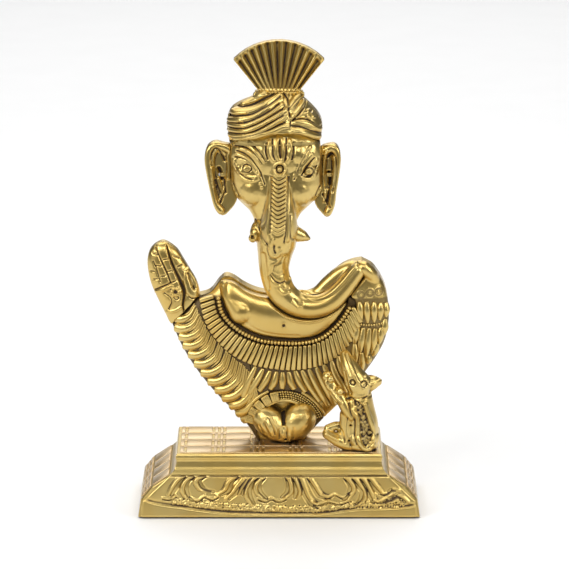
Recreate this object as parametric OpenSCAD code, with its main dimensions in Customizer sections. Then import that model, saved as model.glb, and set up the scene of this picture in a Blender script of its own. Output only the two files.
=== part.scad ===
// Standing elephant-headed devotional figure in relief, on a stepped plinth with a climbing mouse.
// Millimetres. +Z up, front towards -Y, origin at the centre of the underside.
// The figure and the mouse are separate castings, screwed down through both tiers of the plinth.

/* [Plinth] */
// Width of the lower tier at its foot
base_w = 114; // [100:1:140]
// Depth of the lower tier at its foot
base_d = 51; // [44:1:62]
// Height of the plain band round the foot
band_h = 7.5; // [5:0.5:10]
// Height of the carved slope above the band
slope_h = 10.2; // [7:0.2:14]
// Height of the upper tier
block_h = 8.1; // [6:0.1:12]
// Run of the slope at each end
end_run = 12; // [8:0.5:16]
// Run of the slope at the front and back
face_run = 1.3; // [0.5:0.1:4]
// How far the upper tier flares out at its foot
block_flare = 2.6; // [1:0.1:4]
// Wall of both plinth castings
casting_wall = 2.5; // [2:0.1:4]

/* [Underside] */
// Thickness of the felt pad
felt_t = 1.2; // [0.8:0.1:2]
// Gap between the castings' rim and the table
rim_lift = 0.4; // [0.2:0.1:0.8]
// Width of the rim round the pad
rim_w = 2; // [1:0.25:4]

/* [Figure] */
// Height of the figure above the plinth
figure_h = 166.2; // [120:0.2:210]
// Thickness of the flat body plate
plate_t = 7; // [5:0.5:10]
// Height of the mouse above the plinth
mouse_h = 38; // [30:1:48]

/* [Fasteners] */
// Nominal thread of the fixing screws
screw_d = 4; // [3:0.5:5]
// Depth of thread in the figure and the mouse
thread_l = 8.5; // [6:0.5:10]
// Gap between the washers of the figure's two screws
screw_gap = 1.2; // [0.8:0.1:3]
// Diameter of the neck and turban dowels
dowel_d = 4; // [3:0.5:5]
// Diameter of the ear and trunk pins
pin_d = 2; // [1.5:0.25:2.5]

/* [Hidden] */
$fn = 48;

gold = "goldenrod";
fit_gap = 0.05;                           // radial running gap of a dowel, pin or thread
seam = 0.1;                               // gap between castings that are brazed along a curved face
draft = 1.1;                              // how much the band narrows over its height
deck_z = band_h + slope_h;                // top of the lower tier
seat_z = deck_z + block_h;                // top of the upper tier, where the figure stands
deck_w = base_w - 2 * (draft + end_run);  // lower tier's top
deck_d = base_d - 2 * (draft + face_run);
block_w = deck_w - 2 * block_flare;       // upper tier's top
block_d = deck_d - 2 * block_flare;

k = figure_h / 166.2;                     // scale of the figure's drawn outlines
mk = mouse_h / 38;                        // scale of the mouse
washer_t = 0.8;
washer_d = 2.2 * screw_d;
screw_pitch = washer_d + screw_gap;
screw_x = [k - screw_pitch / 2, k + screw_pitch / 2];
screw_y = plate_t * k / 2;
mouse_x = block_w / 2 - 8;
mouse_y = washer_d / 2 + 0.2 - (deck_d / 2 - casting_wall - 1);   // its washer clears the front wall
screws = [[screw_x[0], screw_y], [screw_x[1], screw_y], [mouse_x, mouse_y]];
head_d = 1.75 * screw_d;
head_h = 0.65 * screw_d;
screw_hole_d = screw_d + 0.5;
spacer_d = 2.2 * screw_d;

neck = [-1.8, -5.2];                      // axis of the trunk's column, before scaling
neck_z = 81;                              // joint between trunk and head
turban_z = 125;                           // joint between head and turban
turban_axis = [-1.4, -2];
dowel_l = 24;
trunk_r = 6.3;
tip_r = 4.9;
bend_r = 13.6;                            // radius of the trunk's bend
bend_z = 72.2;                            // height at which the bend starts
rise_l = 13.5;                            // length of the rising end of the trunk
feet = [2.2, 6];                          // centre of the feet and of the anklets round them
feet_r = 11.4;
anklet_r = 16.5;
plume_y = -1.7;                           // middle of the plume, front to back
plume_z = 145.7;                          // foot of the plume
ear_z = 111;
trunk_pin_at = [15, 58];

// A smooth curve through hand-set points.
function blend(a, b, c, d, t) =
    0.5 * (2 * b + (c - a) * t + (2 * a - 5 * b + 4 * c - d) * t * t + (3 * b - a - 3 * c + d) * t * t * t);
function curve(p, n = 4) = concat(
    [for (i = [0 : len(p) - 2]) for (s = [0 : n - 1])
        blend(p[max(i - 1, 0)], p[i], p[i + 1], p[min(i + 2, len(p) - 1)], s / n)],
    [p[len(p) - 1]]);
function loop(p, n = 4) = [for (i = [0 : len(p) - 1]) for (s = [0 : n - 1])
    blend(p[(i + len(p) - 1) % len(p)], p[i], p[(i + 1) % len(p)], p[(i + 2) % len(p)], s / n)];
function reversed(p) = [for (i = [len(p) - 1 : -1 : 0]) p[i]];

// Lines that the castings of the body share, in the front view, measured from the plinth's top.
left_edge = curve([[-43.4, 49.6], [-40, 41.4], [-35.3, 33], [-29.4, 24.8], [-22.8, 17.2], [-16.4, 11],
                   [-12.4, 6.2], [-8.5, 0]]);
right_edge = curve([[10, 0], [15.9, 7.4], [26.9, 18.6], [33.4, 27], [39.6, 36], [43.2, 43.6], [44.6, 53.4],
                    [43, 64.4], [38.8, 72], [36, 74.2]]);
top_edge = curve([[33.4, 75.5], [29.4, 74.7], [24.6, 72.2], [18.6, 66.5], [14, 62.5], [8, 61], [0, 61.4],
                  [-8, 62.6], [-13.6, 64.9], [-18.2, 68], [-21.6, 69], [-24.4, 66.8], [-28, 62.3],
                  [-33.5, 60.6]]);
belly_line = curve([[-23.1, 62.4], [-21.7, 56], [-18.1, 51.3], [-12.6, 47.5], [-6.5, 45.1], [1.5, 44.1],
                    [9.8, 44], [16, 45.6], [20.7, 49], [24.3, 53], [27.9, 58.9]]);
belly_top = curve([[27.9, 58.9], [16, 60.6], [8, 60.4], [0, 60.8], [-8, 62], [-13.6, 64.2], [-17.8, 67],
                   [-21, 67.6], [-23.1, 62.4]]);
collar_line = curve([[-31.2, 60], [-29.2, 52.1], [-25.6, 45.4], [-18.7, 38.7], [-10.2, 34.1], [1.6, 32],
                     [11.8, 32.6], [19.9, 35.3], [25.6, 40], [29.6, 45.8], [31, 51.3], [31, 60]]);
sleeve_line = curve([[-12, 36], [-11.2, 28], [-12, 21], [-14.5, 14.5], [-19, 6]]);
arm_line = curve([[29, 64], [28.5, 52], [26.5, 43], [26, 34], [27, 26], [30, 16]]);
palm_view = loop([[-46, 83.6], [-49, 83], [-51.8, 80.6], [-53.1, 77], [-53.1, 72.6], [-51.9, 66.6],
                  [-49.6, 61], [-46.2, 54], [-43.4, 49.2], [-37.6, 50.2], [-33.6, 53], [-32, 57.7],
                  [-32.1, 62.5], [-33.5, 67.3], [-36, 71.8], [-38.5, 76], [-41.3, 80.4]]);
head_view = curve([[16.5, 125], [17.3, 116], [17.4, 107.5], [15.9, 102.8], [12.4, 99.2], [8.9, 95.8],
                   [7.2, 92.4], [7.5, 88.5], [7.1, 84.5], [6, 81], [-9, 81], [-9.7, 84.5], [-10, 89],
                   [-10.2, 93.6], [-12, 97], [-15.4, 100.2], [-18, 104], [-19.2, 109], [-19.6, 116],
                   [-19.6, 125]], 3);
head_side = curve([[-12.5, 125], [-14, 118], [-15.5, 105], [-15, 92], [-13.2, 81], [1.2, 81], [4, 92],
                   [7, 105], [7, 118], [6.5, 125]], 3);
turban_view = curve([[-19.9, 125], [-20.6, 131], [-20.6, 134.6], [-18.8, 138.4], [-14.8, 141],
                     [-9.8, 143.2], [-8.4, 145.7], [8.4, 145.7], [9.4, 143], [12.2, 140.2], [15.4, 136.6],
                     [17.2, 133], [17.2, 129.5], [16.4, 125]], 3);
turban_side = curve([[-13, 125], [-15, 131], [-12.5, 140], [-6.5, 145.7], [3.5, 145.7], [7, 140], [9, 131],
                     [7.5, 125]], 3);
ear_left_view = loop([[-17, 121], [-22.9, 124.4], [-26.2, 124.8], [-28.9, 122.6], [-29.9, 118],
                      [-29.2, 112.3], [-27.7, 104.7], [-25.9, 97.8], [-23.2, 94.6], [-20.2, 96.2],
                      [-16.5, 103]]);
ear_right_view = loop([[15, 120], [20.9, 124], [23.9, 122.4], [24.8, 117.8], [24.1, 110.8], [23.1, 104.7],
                       [22.3, 98.5], [20, 94], [17.2, 95.6], [14, 102]]);

// The front view's outline, pushed from the depth front to the depth back.
module relief(front, back)
    translate([0, back, 0]) rotate([90, 0, 0]) linear_extrude(back - front) children();
// A solid with one outline from the front and another from the side.
module carved(front_view, side_view) intersection() {
    relief(-90, 90) polygon(front_view);
    rotate([90, 0, 90]) translate([0, 0, -90]) linear_extrude(180) polygon(side_view);
}
module figure_space() translate([0, 0, seat_z]) scale(k) children();
module upright(x, y, z0, z1, d) translate([x, y, z0]) cylinder(d = d, h = z1 - z0);
module forwards(x, z, y0, y1, d) translate([x, y1, z]) rotate([90, 0, 0]) cylinder(d = d, h = y1 - y0);
module sideways(y, z, x0, x1, d) translate([x0, y, z]) rotate([0, 90, 0]) cylinder(d = d, h = x1 - x0);

// Both halves of a tier's profile, for a foot of half-width r; inset shrinks it into a cavity.
function mirrored(p) = concat(p, reversed([for (q = p) [-q[0], q[1]]]));
function tier_half(r, run, inset, foot) = [[r - inset, foot], [r - draft - inset, band_h - inset * 0.4],
    [r - draft - run * 0.35 - inset, band_h + slope_h * 0.5 - inset * 0.6],
    [r - draft - run - inset, deck_z - inset]];
function block_half(r, inset) = curve([[r - inset, 0], [r - block_flare * 0.62 - inset, block_h * 0.22],
    [r - block_flare * 0.95 - inset, block_h * 0.6], [r - block_flare * 0.8 - inset, block_h * 0.82],
    [r - block_flare - inset, block_h]], 3);

module plinth_lower() color(gold) difference() {
    carved(mirrored(tier_half(base_w / 2, end_run, 0, rim_lift)),
           mirrored(tier_half(base_d / 2, face_run, 0, rim_lift)));
    carved(mirrored(tier_half(base_w / 2, end_run, casting_wall + 1, -1)),
           mirrored(tier_half(base_d / 2, face_run, casting_wall + 1, -1)));
    translate([rim_w - base_w / 2, rim_w - base_d / 2, -1])
        cube([base_w - 2 * rim_w, base_d - 2 * rim_w, 1 + felt_t]);
    for (s = screws) upright(s[0], s[1], felt_t + 1, seat_z, screw_hole_d);
}
module plinth_upper() color(gold) difference() {
    translate([0, 0, deck_z])
        carved(mirrored(block_half(deck_w / 2, 0)), mirrored(block_half(deck_d / 2, 0)));
    difference() {
        translate([casting_wall - block_w / 2, casting_wall - block_d / 2, deck_z - 1])
            cube([block_w - 2 * casting_wall, block_d - 2 * casting_wall, 1 + block_h - casting_wall]);
        for (s = screws) upright(s[0], s[1], deck_z - 2, seat_z, spacer_d);
    }
    for (s = screws) upright(s[0], s[1], deck_z - 1, seat_z + 1, screw_hole_d);
}
module felt_pad() color("darkred")
    translate([rim_w + seam - base_w / 2, rim_w + seam - base_d / 2, 0])
        cube([base_w - 2 * (rim_w + seam), base_d - 2 * (rim_w + seam), felt_t]);

under_deck = deck_z - casting_wall - 1;   // the screws' washers bear here
module fixing_screws() color("silver") for (s = screws) {
    upright(s[0], s[1], under_deck - washer_t - head_h, under_deck - washer_t, head_d);
    upright(s[0], s[1], under_deck - washer_t, seat_z + thread_l - 1, screw_d - 2 * fit_gap);
}
module fixing_washers() color("silver") for (s = screws) difference() {
    upright(s[0], s[1], under_deck - washer_t, under_deck, washer_d);
    upright(s[0], s[1], under_deck - washer_t - 1, under_deck + 1, screw_d + 0.3);
}
module tapped_holes() for (s = screws) upright(s[0], s[1], seat_z - 1, seat_z + thread_l, screw_d);

// Bores with their clearance, or the dowels and pins that fill them where grow is zero.
function ear_root(side) = (side < 0 ? -19.2 : 17.2) * k;
module neck_bore(grow = fit_gap)
    upright(neck[0] * k, neck[1] * k, seat_z + neck_z * k - dowel_l / 2 - grow,
            seat_z + neck_z * k + dowel_l / 2 + grow, dowel_d + 2 * grow);
module turban_bore(grow = fit_gap)
    upright(turban_axis[0] * k, turban_axis[1] * k, seat_z + turban_z * k - dowel_l / 2 - grow,
            seat_z + turban_z * k + dowel_l / 2 + grow, dowel_d + 2 * grow);
module trunk_bore(grow = fit_gap)
    forwards(trunk_pin_at[0] * k, seat_z + trunk_pin_at[1] * k, -6 * k - grow, (plate_t - 2) * k + grow,
             pin_d + 2 * grow);
module ear_bore(side, grow = fit_gap)
    sideways(-0.2 * k, seat_z + ear_z * k, ear_root(side) - 5 - grow, ear_root(side) + 5 + grow,
             pin_d + 2 * grow);
module neck_dowel() color("silver") neck_bore(0);
module turban_dowel() color("silver") turban_bore(0);
module trunk_pin() color("silver") trunk_bore(0);
module ear_pins() color("silver") for (side = [-1, 1]) ear_bore(side, 0);

// The trunk's tube: a straight column, a bend and a rising taper that ends in a ball.
module trunk_form(grow = 0) translate([neck[0], neck[1], 0]) {
    translate([0, 0, bend_z]) cylinder(r = trunk_r + grow, h = neck_z - bend_z);
    translate([bend_r, 0, bend_z]) rotate([90, 0, 0]) rotate([0, 0, 180])
        rotate_extrude(angle = 135) translate([bend_r, 0]) circle(trunk_r + grow);
    translate([bend_r * (1 + cos(45)), 0, bend_z - bend_r * sin(45)]) rotate([0, 45, 0]) {
        cylinder(r1 = trunk_r + grow, r2 = tip_r + grow, h = rise_l);
        translate([0, 0, rise_l]) sphere(tip_r + grow);
    }
}
module trunk() color(gold) difference() {
    figure_space() trunk_form();
    neck_bore();
    trunk_bore();
}

module body_view() polygon(concat(left_edge, right_edge, top_edge));
module collar_zone() polygon(concat(collar_line, [[-31.2, 95]]));
module sleeve_zone() polygon(concat(sleeve_line, [[-60, -5], [-60, 95], [-12, 95]]));
module arm_zone() polygon(concat(arm_line, [[60, 10], [60, 95], [29, 95]]));
module skirt_zone() translate([-60, 0]) square([120, 46]);
module disc(r) translate(feet) circle(r);

module torso() color(gold) difference() {
    figure_space() difference() {
        relief(0, plate_t) body_view();
        trunk_form(seam);
    }
    tapped_holes();
    trunk_bore();
}
module belly() color(gold) figure_space() difference() {
    relief(-4, 0) polygon(concat(belly_line, belly_top));
    trunk_form(seam);
}
module bead_collar() color(gold) figure_space() difference() {
    relief(-4.5, 0) intersection() {
        body_view();
        collar_zone();
    }
    relief(-9, 1) polygon(concat(belly_line, [[27.9, 95], [-23.1, 95]]));
    trunk_form(seam);
}
module bangled_forearm() color(gold) figure_space() difference() {
    relief(-5, 0) intersection() {
        body_view();
        sleeve_zone();
    }
    relief(-9, 1) collar_zone();
    relief(-9, 1) disc(anklet_r);
}
module folded_arm() color(gold) figure_space() difference() {
    relief(-4, 0) intersection() {
        body_view();
        arm_zone();
    }
    relief(-9, 1) collar_zone();
    trunk_form(seam);
}
module pleated_skirt() color(gold) figure_space() difference() {
    relief(-4, 0) intersection() {
        body_view();
        skirt_zone();
    }
    relief(-9, 1) collar_zone();
    relief(-9, 1) sleeve_zone();
    relief(-9, 1) arm_zone();
    relief(-9, 1) disc(anklet_r);
}
module anklet(side) color(gold) figure_space() difference() {
    relief(-5, 0) intersection() {
        body_view();
        disc(anklet_r);
        translate([side < 0 ? feet[0] - 60 : feet[0], 0]) square([60, 60]);
    }
    relief(-9, 1) disc(feet_r);
}
module anklet_left() anklet(-1);
module anklet_right() anklet(1);
// Each foot is a ball cut by the plate behind it and by the other foot beside it.
module foot(side) color(gold) figure_space() intersection() {
    relief(-20, 0) intersection() {
        body_view();
        disc(feet_r);
        translate([side < 0 ? feet[0] - 60 : feet[0], 0]) square([60, 60]);
    }
    translate([feet[0] + side * 4.6, 1.5, feet[1] + 2.2]) sphere(11);
}
module foot_left() foot(-1);
module foot_right() foot(1);

module open_palm() color(gold) figure_space() difference() {
    relief(-3, 4) polygon(palm_view);
    relief(-9, plate_t + 1) body_view();
}

module slab(z) translate([-60, -60, z]) cube([120, 120, 20]);
module head_form() difference() {
    carved(head_view, head_side);
    slab(neck_z - 20);
}
module head() color(gold) difference() {
    figure_space() head_form();
    neck_bore();
    turban_bore();
    for (side = [-1, 1]) ear_bore(side);
}
plume_tang = [10, 3, 6];                  // width, thickness and depth of the plume's tang
module turban() color(gold) difference() {
    figure_space() difference() {
        carved(turban_view, turban_side);
        slab(plume_z);
        translate([-plume_tang[0] / 2 - seam, plume_y - plume_tang[1] / 2 - seam,
                   plume_z - plume_tang[2] - seam])
            cube([plume_tang[0] + 2 * seam, plume_tang[1] + 2 * seam, 20]);
    }
    turban_bore();
}
// The plume is a fan: a sector of a disc, cut off square at its foot.
fan_foot = 8.1;                           // half-width of the fan at its foot
fan_half_w = 18.2;
fan_corner = 12.8;                        // height of the fan's corners above its foot
fan_top = 20.5;
fan_r = (pow(fan_half_w, 2) + pow(fan_top - fan_corner, 2)) / (2 * (fan_top - fan_corner));
module plume() color(gold) figure_space() translate([0, plume_y, plume_z]) {
    intersection() {
        relief(-2.2, 2.2) polygon([[-fan_foot, 0], [fan_foot, 0], [fan_half_w, fan_corner],
                                   [fan_half_w, 30], [-fan_half_w, 30], [-fan_half_w, fan_corner]]);
        relief(-3, 3) translate([0, fan_top - fan_r]) circle(fan_r, $fn = 96);
    }
    translate([-plume_tang[0] / 2, -plume_tang[1] / 2, -plume_tang[2]]) cube(plume_tang + [0, 0, 0.01]);
}
module ear(view, side) color(gold) difference() {
    figure_space() difference() {
        relief(-2.2, 1.8) polygon(view);
        relief(-9, 9) polygon(head_view);
    }
    ear_bore(side);
}
module ear_left() ear(ear_left_view, -1);
module ear_right() ear(ear_right_view, 1);
module tusk(side, length, root_r, end_r) color(gold) figure_space() difference() {
    translate([side * 7 - 0.4, -7, 87]) rotate([0, side * 104, 0]) {
        cylinder(r1 = root_r, r2 = end_r, h = length);
        translate([0, 0, length]) sphere(end_r);
    }
    head_form();
}
module tusk_left() tusk(-1, 3.2, 2.6, 1.8);
module tusk_right() tusk(1, 4.6, 2.5, 0.9);

// The mouse stands on its haunches and reaches up and to the left.
module limb(from, from_r, to, to_r) hull() {
    translate(from) sphere(from_r, $fn = 20);
    translate(to) sphere(to_r, $fn = 20);
}
module mouse() color(gold) difference() {
    translate([mouse_x, mouse_y, seat_z]) scale(mk) {
        hull() {
            for (x = [-2.8, 3.2]) translate([x, 0, 0]) cylinder(r = 4.4, h = 5, $fn = 28);
            translate([-2.4, 0.8, 15]) sphere(4.8, $fn = 28);
            translate([1.6, 0.8, 18]) sphere(4.6, $fn = 28);
        }
        limb([-2, 1, 24.5], 5, [-7, 3, 34.8], 2);
        translate([0, 1, 26]) rotate([0, 80, 0]) cylinder(r1 = 3.2, r2 = 0.8, h = 8.2);
        limb([-2.5, 0, 17], 3, [-13, 2.6, 26], 1.8);
        limb([-4, -1, 3.4], 2.6, [-13, -1, 6], 2);
    }
    tapped_holes();
}

plinth_lower();
plinth_upper();
felt_pad();
fixing_screws();
fixing_washers();
torso();
belly();
bead_collar();
bangled_forearm();
open_palm();
folded_arm();
pleated_skirt();
anklet_left();
anklet_right();
foot_left();
foot_right();
trunk();
head();
turban();
plume();
ear_left();
ear_right();
tusk_left();
tusk_right();
mouse();
neck_dowel();
turban_dowel();
trunk_pin();
ear_pins();
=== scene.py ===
# %% [markdown]
# # A cast brass idol, worked up part by part
# The idol is an elephant-headed figure in relief, standing on a stepped plinth with a small
# mouse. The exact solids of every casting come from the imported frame. They have the right
# outline and depth but no ornament. This lesson turns each of them into a finished casting:
# a copy of the solid is made into an even skin, the skin is swelled and worked with strokes,
# as a wax is worked before it is cast, and beads, bangles and pleats are laid on it.

import math

import bmesh
import bpy
import numpy as np
from mathutils import Euler, Matrix, Vector


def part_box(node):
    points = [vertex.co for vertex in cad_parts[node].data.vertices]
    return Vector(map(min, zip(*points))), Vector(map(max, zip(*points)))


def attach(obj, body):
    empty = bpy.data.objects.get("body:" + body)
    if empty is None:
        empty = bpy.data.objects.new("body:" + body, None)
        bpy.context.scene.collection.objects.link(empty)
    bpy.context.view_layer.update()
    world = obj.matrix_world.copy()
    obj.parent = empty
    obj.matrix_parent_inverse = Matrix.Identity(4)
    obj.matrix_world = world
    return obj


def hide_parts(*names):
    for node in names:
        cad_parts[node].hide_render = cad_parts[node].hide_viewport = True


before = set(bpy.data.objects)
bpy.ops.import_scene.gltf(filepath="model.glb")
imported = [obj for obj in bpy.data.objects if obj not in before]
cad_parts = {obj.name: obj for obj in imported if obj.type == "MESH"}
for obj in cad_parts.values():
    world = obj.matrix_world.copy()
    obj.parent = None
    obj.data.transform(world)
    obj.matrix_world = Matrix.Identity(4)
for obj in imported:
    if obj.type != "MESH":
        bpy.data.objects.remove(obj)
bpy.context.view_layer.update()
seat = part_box("torso")[0].z * 1000
print("frame:", len(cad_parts), "nodes, figure stands at", round(seat, 1), "mm")

# %% [markdown]
# ## Working in millimetres
# The castings are drawn in millimetres, with z measured from the plinth's top, because their
# details are a fraction of a millimetre. Only the finished mesh is moved up to its seat and
# scaled to metres, so that the object itself stays at the origin, unturned and unscaled.


# %% Objects and their baked meshes
def placed(name, data):
    """A new object at the origin, linked to the scene."""
    made = bpy.data.objects.new(name, data)
    bpy.context.scene.collection.objects.link(made)
    return made


def baked(holder):
    """The mesh that an object's modifiers or bevel make. The object itself is dropped."""
    graph = bpy.context.evaluated_depsgraph_get()
    mesh = bpy.data.meshes.new_from_object(holder.evaluated_get(graph))
    bpy.data.objects.remove(holder)
    return mesh


# %% Coordinates in and out of a mesh
def coords(mesh):
    """The vertices as rows of x, y, z."""
    flat = np.empty(len(mesh.vertices) * 3)
    mesh.vertices.foreach_get("co", flat)
    return flat.reshape(-1, 3)


def set_coords(mesh, co):
    """Moves the vertices to new rows of x, y, z."""
    mesh.vertices.foreach_set("co", co.ravel())
    mesh.update()


def normals(mesh):
    """The direction that each vertex faces."""
    flat = np.empty(len(mesh.vertices) * 3)
    mesh.vertex_normals.foreach_get("vector", flat)
    return flat.reshape(-1, 3)


def mark(mesh, name, values):
    """Stores one number per vertex, for the material to read."""
    layer = mesh.attributes.get(name) or mesh.attributes.new(name, "FLOAT", "POINT")
    layer.data.foreach_set("value", np.clip(values, 0, 1))


def marked(mesh, name):
    """The stored numbers again, or zeros where none were stored."""
    values = np.zeros(len(mesh.vertices))
    if mesh.attributes.get(name):
        mesh.attributes[name].data.foreach_get("value", values)
    return values


# %% Smooth lines through given points
def curve(points, steps=6):
    """A Catmull-Rom line through the points, in any number of dimensions."""
    p = np.array(points, float)
    p = np.vstack([2 * p[0] - p[1], p, 2 * p[-1] - p[-2]])
    t = np.linspace(0, 1, steps, endpoint=False)[:, None]
    out = []
    for a, b, c, d in zip(p, p[1:], p[2:], p[3:]):
        out.append(0.5 * (2 * b + (c - a) * t + (2 * a - 5 * b + 4 * c - d) * t**2
                          + (3 * b - a - 3 * c + d) * t**3))
    return np.vstack(out + [p[-2:-1]])


def along(line, count, start=0.0, end=1.0):
    """Points spread evenly along a line, with the line's direction at each."""
    step = np.linalg.norm(np.diff(line, axis=0), axis=1)
    run = np.concatenate([[0], np.cumsum(step)]) / step.sum()
    at = np.linspace(start, end, count)
    spot = np.stack([np.interp(at, run, line[:, i]) for i in range(line.shape[1])], 1)
    ahead = np.stack([np.interp(np.minimum(at + 0.01, 1), run, line[:, i])
                      - np.interp(np.maximum(at - 0.01, 0), run, line[:, i])
                      for i in range(line.shape[1])], 1)
    return spot, ahead / np.linalg.norm(ahead, axis=1)[:, None]


def distance(points, line, widths=None):
    """How far each point lies from a line, and how far along it the nearest place is."""
    best = np.full(len(points), 1e9)
    place = np.zeros(len(points))
    for i in range(len(line) - 1):
        a, ab = line[i], line[i + 1] - line[i]
        t = np.clip(((points - a) @ ab) / max(ab @ ab, 1e-9), 0, 1)
        gap = np.linalg.norm(points - a - t[:, None] * ab, axis=1)
        near = gap < best
        best[near] = gap[near]
        place[near] = (i + t[near]) / (len(line) - 1)
    return best, place


def bulge(gap, reach):
    """0 at an outline, rising like a quarter circle to 1 at the given reach inside it."""
    return np.sqrt(1 - (1 - np.clip(gap / reach, 0, 1)) ** 2)


def inside(points, outline):
    """True where a point lies within a closed outline."""
    x, z = points[:, 0], points[:, 1]
    hit = np.zeros(len(points), bool)
    for (ax, az), (bx, bz) in zip(outline, np.roll(outline, -1, axis=0)):
        crosses = (az > z) != (bz > z)
        if az != bz:
            hit ^= crosses & (x < (bx - ax) * (z - az) / (bz - az) + ax)
    return hit


# %% [markdown]
# ## From a plain solid to an even skin
# Sculpting needs faces of one small size all over. A Remesh modifier in voxel mode gives that:
# it fuses every lump it is given into one closed skin and rounds the edges a little, as
# casting does. A few rounds of Smooth take the voxel steps away.


# %% Fuse lumps into one skin
def fused(bm, voxel, rounds=3):
    """One closed skin round everything in the bmesh."""
    rough = bpy.data.meshes.new("rough")
    bm.to_mesh(rough)
    bm.free()
    holder = placed("rough", rough)
    remesh = holder.modifiers.new("fuse", "REMESH")
    remesh.mode, remesh.voxel_size = "VOXEL", voxel
    soften = holder.modifiers.new("soften", "SMOOTH")
    soften.factor, soften.iterations = 0.5, rounds
    skin = baked(holder)
    bpy.data.meshes.remove(rough)
    return skin


def blank(*nodes):
    """The solids of some castings, merged into one bmesh, in millimetres above the seat."""
    bm = bmesh.new()
    for node in nodes:
        bm.from_mesh(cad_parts[node].data)
    bmesh.ops.scale(bm, vec=(1000, 1000, 1000), verts=bm.verts)
    bmesh.ops.translate(bm, vec=(0, 0, -seat), verts=bm.verts)
    bmesh.ops.remove_doubles(bm, verts=bm.verts, dist=0.002)
    return bm


def reopened(mesh):
    """A skin as a bmesh again, for more wax or a cut."""
    bm = bmesh.new()
    bm.from_mesh(mesh)
    return bm


def lump(bm, at, size, turn=(0, 0, 0)):
    """Adds an egg of wax: where, its three half-sizes, and how it is turned in degrees."""
    size = (size,) * 3 if isinstance(size, (int, float)) else size
    place = (Matrix.Translation(at) @ Euler([math.radians(a) for a in turn]).to_matrix().to_4x4()
             @ Matrix.Diagonal((*size, 1)))
    bmesh.ops.create_icosphere(bm, subdivisions=3, radius=1, matrix=place)


def roll(bm, path, sizes, count=40):
    """Adds a roll of wax: eggs close together along a path, thick as sizes says."""
    spots, _ = along(curve(path), count)
    place = np.linspace(0, 1, count)
    thick = np.interp(place, np.linspace(0, 1, len(sizes)), sizes)
    for spot, r in zip(spots, thick):
        lump(bm, spot, (r, r, r))


# %% [markdown]
# ## Strokes
# A stroke is a line drawn on the front, with a width and a height. Positive heights raise a
# ridge, negative ones cut a groove. A pad raises everything inside an outline. Grooves also
# leave dirt behind, which the material turns into dark patina.


# %% Work a skin with strokes
def stroke(path, width, height, edge="round", smooth=True, dirt=1.0):
    """A line to raise or cut. Width and height may each be a list that runs along it."""
    line = curve(path) if smooth and len(path) > 2 else np.array(path, float)
    return ("stroke", line, width, height, edge, dirt)


def pad(outline, height, rim=1.0, smooth=True, dirt=0.0):
    """A closed outline whose whole inside is raised or sunk, with a rounded rim."""
    line = np.array(outline, float)
    if smooth:
        line = curve(np.vstack([line, line[:1]]))[:-1]
    return ("pad", line, rim, height, "round", dirt)


def ridges(width, height, *paths, edge="round"):
    """Raised strokes of one size along several lines."""
    return [stroke(path, width, height, edge) for path in paths]


def grooves(width, depth, *paths, dirt=0.7):
    """Cut strokes of one size along several lines."""
    depth = tuple(-d for d in depth) if isinstance(depth, tuple) else -depth
    return [stroke(path, width, depth, "soft", dirt=dirt) for path in paths]


def dots(width, height, *spots, edge="soft"):
    """Round marks, each drawn as a stroke with hardly any length."""
    return [stroke([(x - 0.01, z), (x + 0.01, z)], width, height, edge, False) for x, z in spots]


def circle(x, z, wide, count, tall=None, end=6.28):
    """Points round a circle, or round an oval that is given its own half height."""
    turns = np.linspace(0, end, count)
    return [(x + wide * math.cos(a), z + (tall or wide) * math.sin(a)) for a in turns]


def profile(t, edge):
    """Height across a stroke, from 1 on its line to 0 at its side."""
    t = np.clip(t, 0, 1)
    if edge == "round":
        return np.sqrt(1 - t * t)
    if edge == "soft":
        return (1 - t * t) ** 2
    step = np.clip((1 - t) / 0.45, 0, 1)
    return step * step * (3 - 2 * step)


def pushes(spots, strokes):
    """How far each spot is raised, and how dirty it gets."""
    push, dirt = np.zeros(len(spots)), np.zeros(len(spots))
    for kind, line, width, height, edge, dirty in strokes:
        reach = np.max(width) + 0.1 if kind == "stroke" else 0.1
        low, high = line.min(0) - reach, line.max(0) + reach
        near = np.flatnonzero(((spots > low) & (spots < high)).all(1))
        if not len(near):
            continue
        if kind == "stroke":
            gap, place = distance(spots[near], line)
            wide = np.interp(place, np.linspace(0, 1, np.size(width)), np.atleast_1d(width))
            tall = np.interp(place, np.linspace(0, 1, np.size(height)), np.atleast_1d(height))
            shape = profile(gap / wide, edge)
        else:
            within = inside(spots[near], line)
            near = near[within]
            gap, _ = distance(spots[near], np.vstack([line, line[:1]]))
            tall, shape = height, profile(1 - np.clip(gap / width, 0, 1), "round")
        push[near] += tall * shape
        if np.min(height) < 0:
            dirt[near] = np.maximum(dirt[near], dirty * shape)
    return push, dirt


def sculpt(mesh, strokes, lean=0.4, facing=0.15):
    """Raises and cuts the front of a mesh, mostly straight towards the viewer."""
    co, no = coords(mesh), normals(mesh)
    front = np.flatnonzero(no[:, 1] < -facing)
    push, dirt = pushes(co[front][:, [0, 2]], strokes)
    way = lean * no[front] + (1 - lean) * np.array([0, -1, 0])
    way /= np.linalg.norm(way, axis=1)[:, None]
    co[front] += way * push[:, None]
    stained = marked(mesh, "dirt")
    stained[front] = np.maximum(stained[front], dirt)
    set_coords(mesh, co)
    mark(mesh, "dirt", stained)


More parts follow.
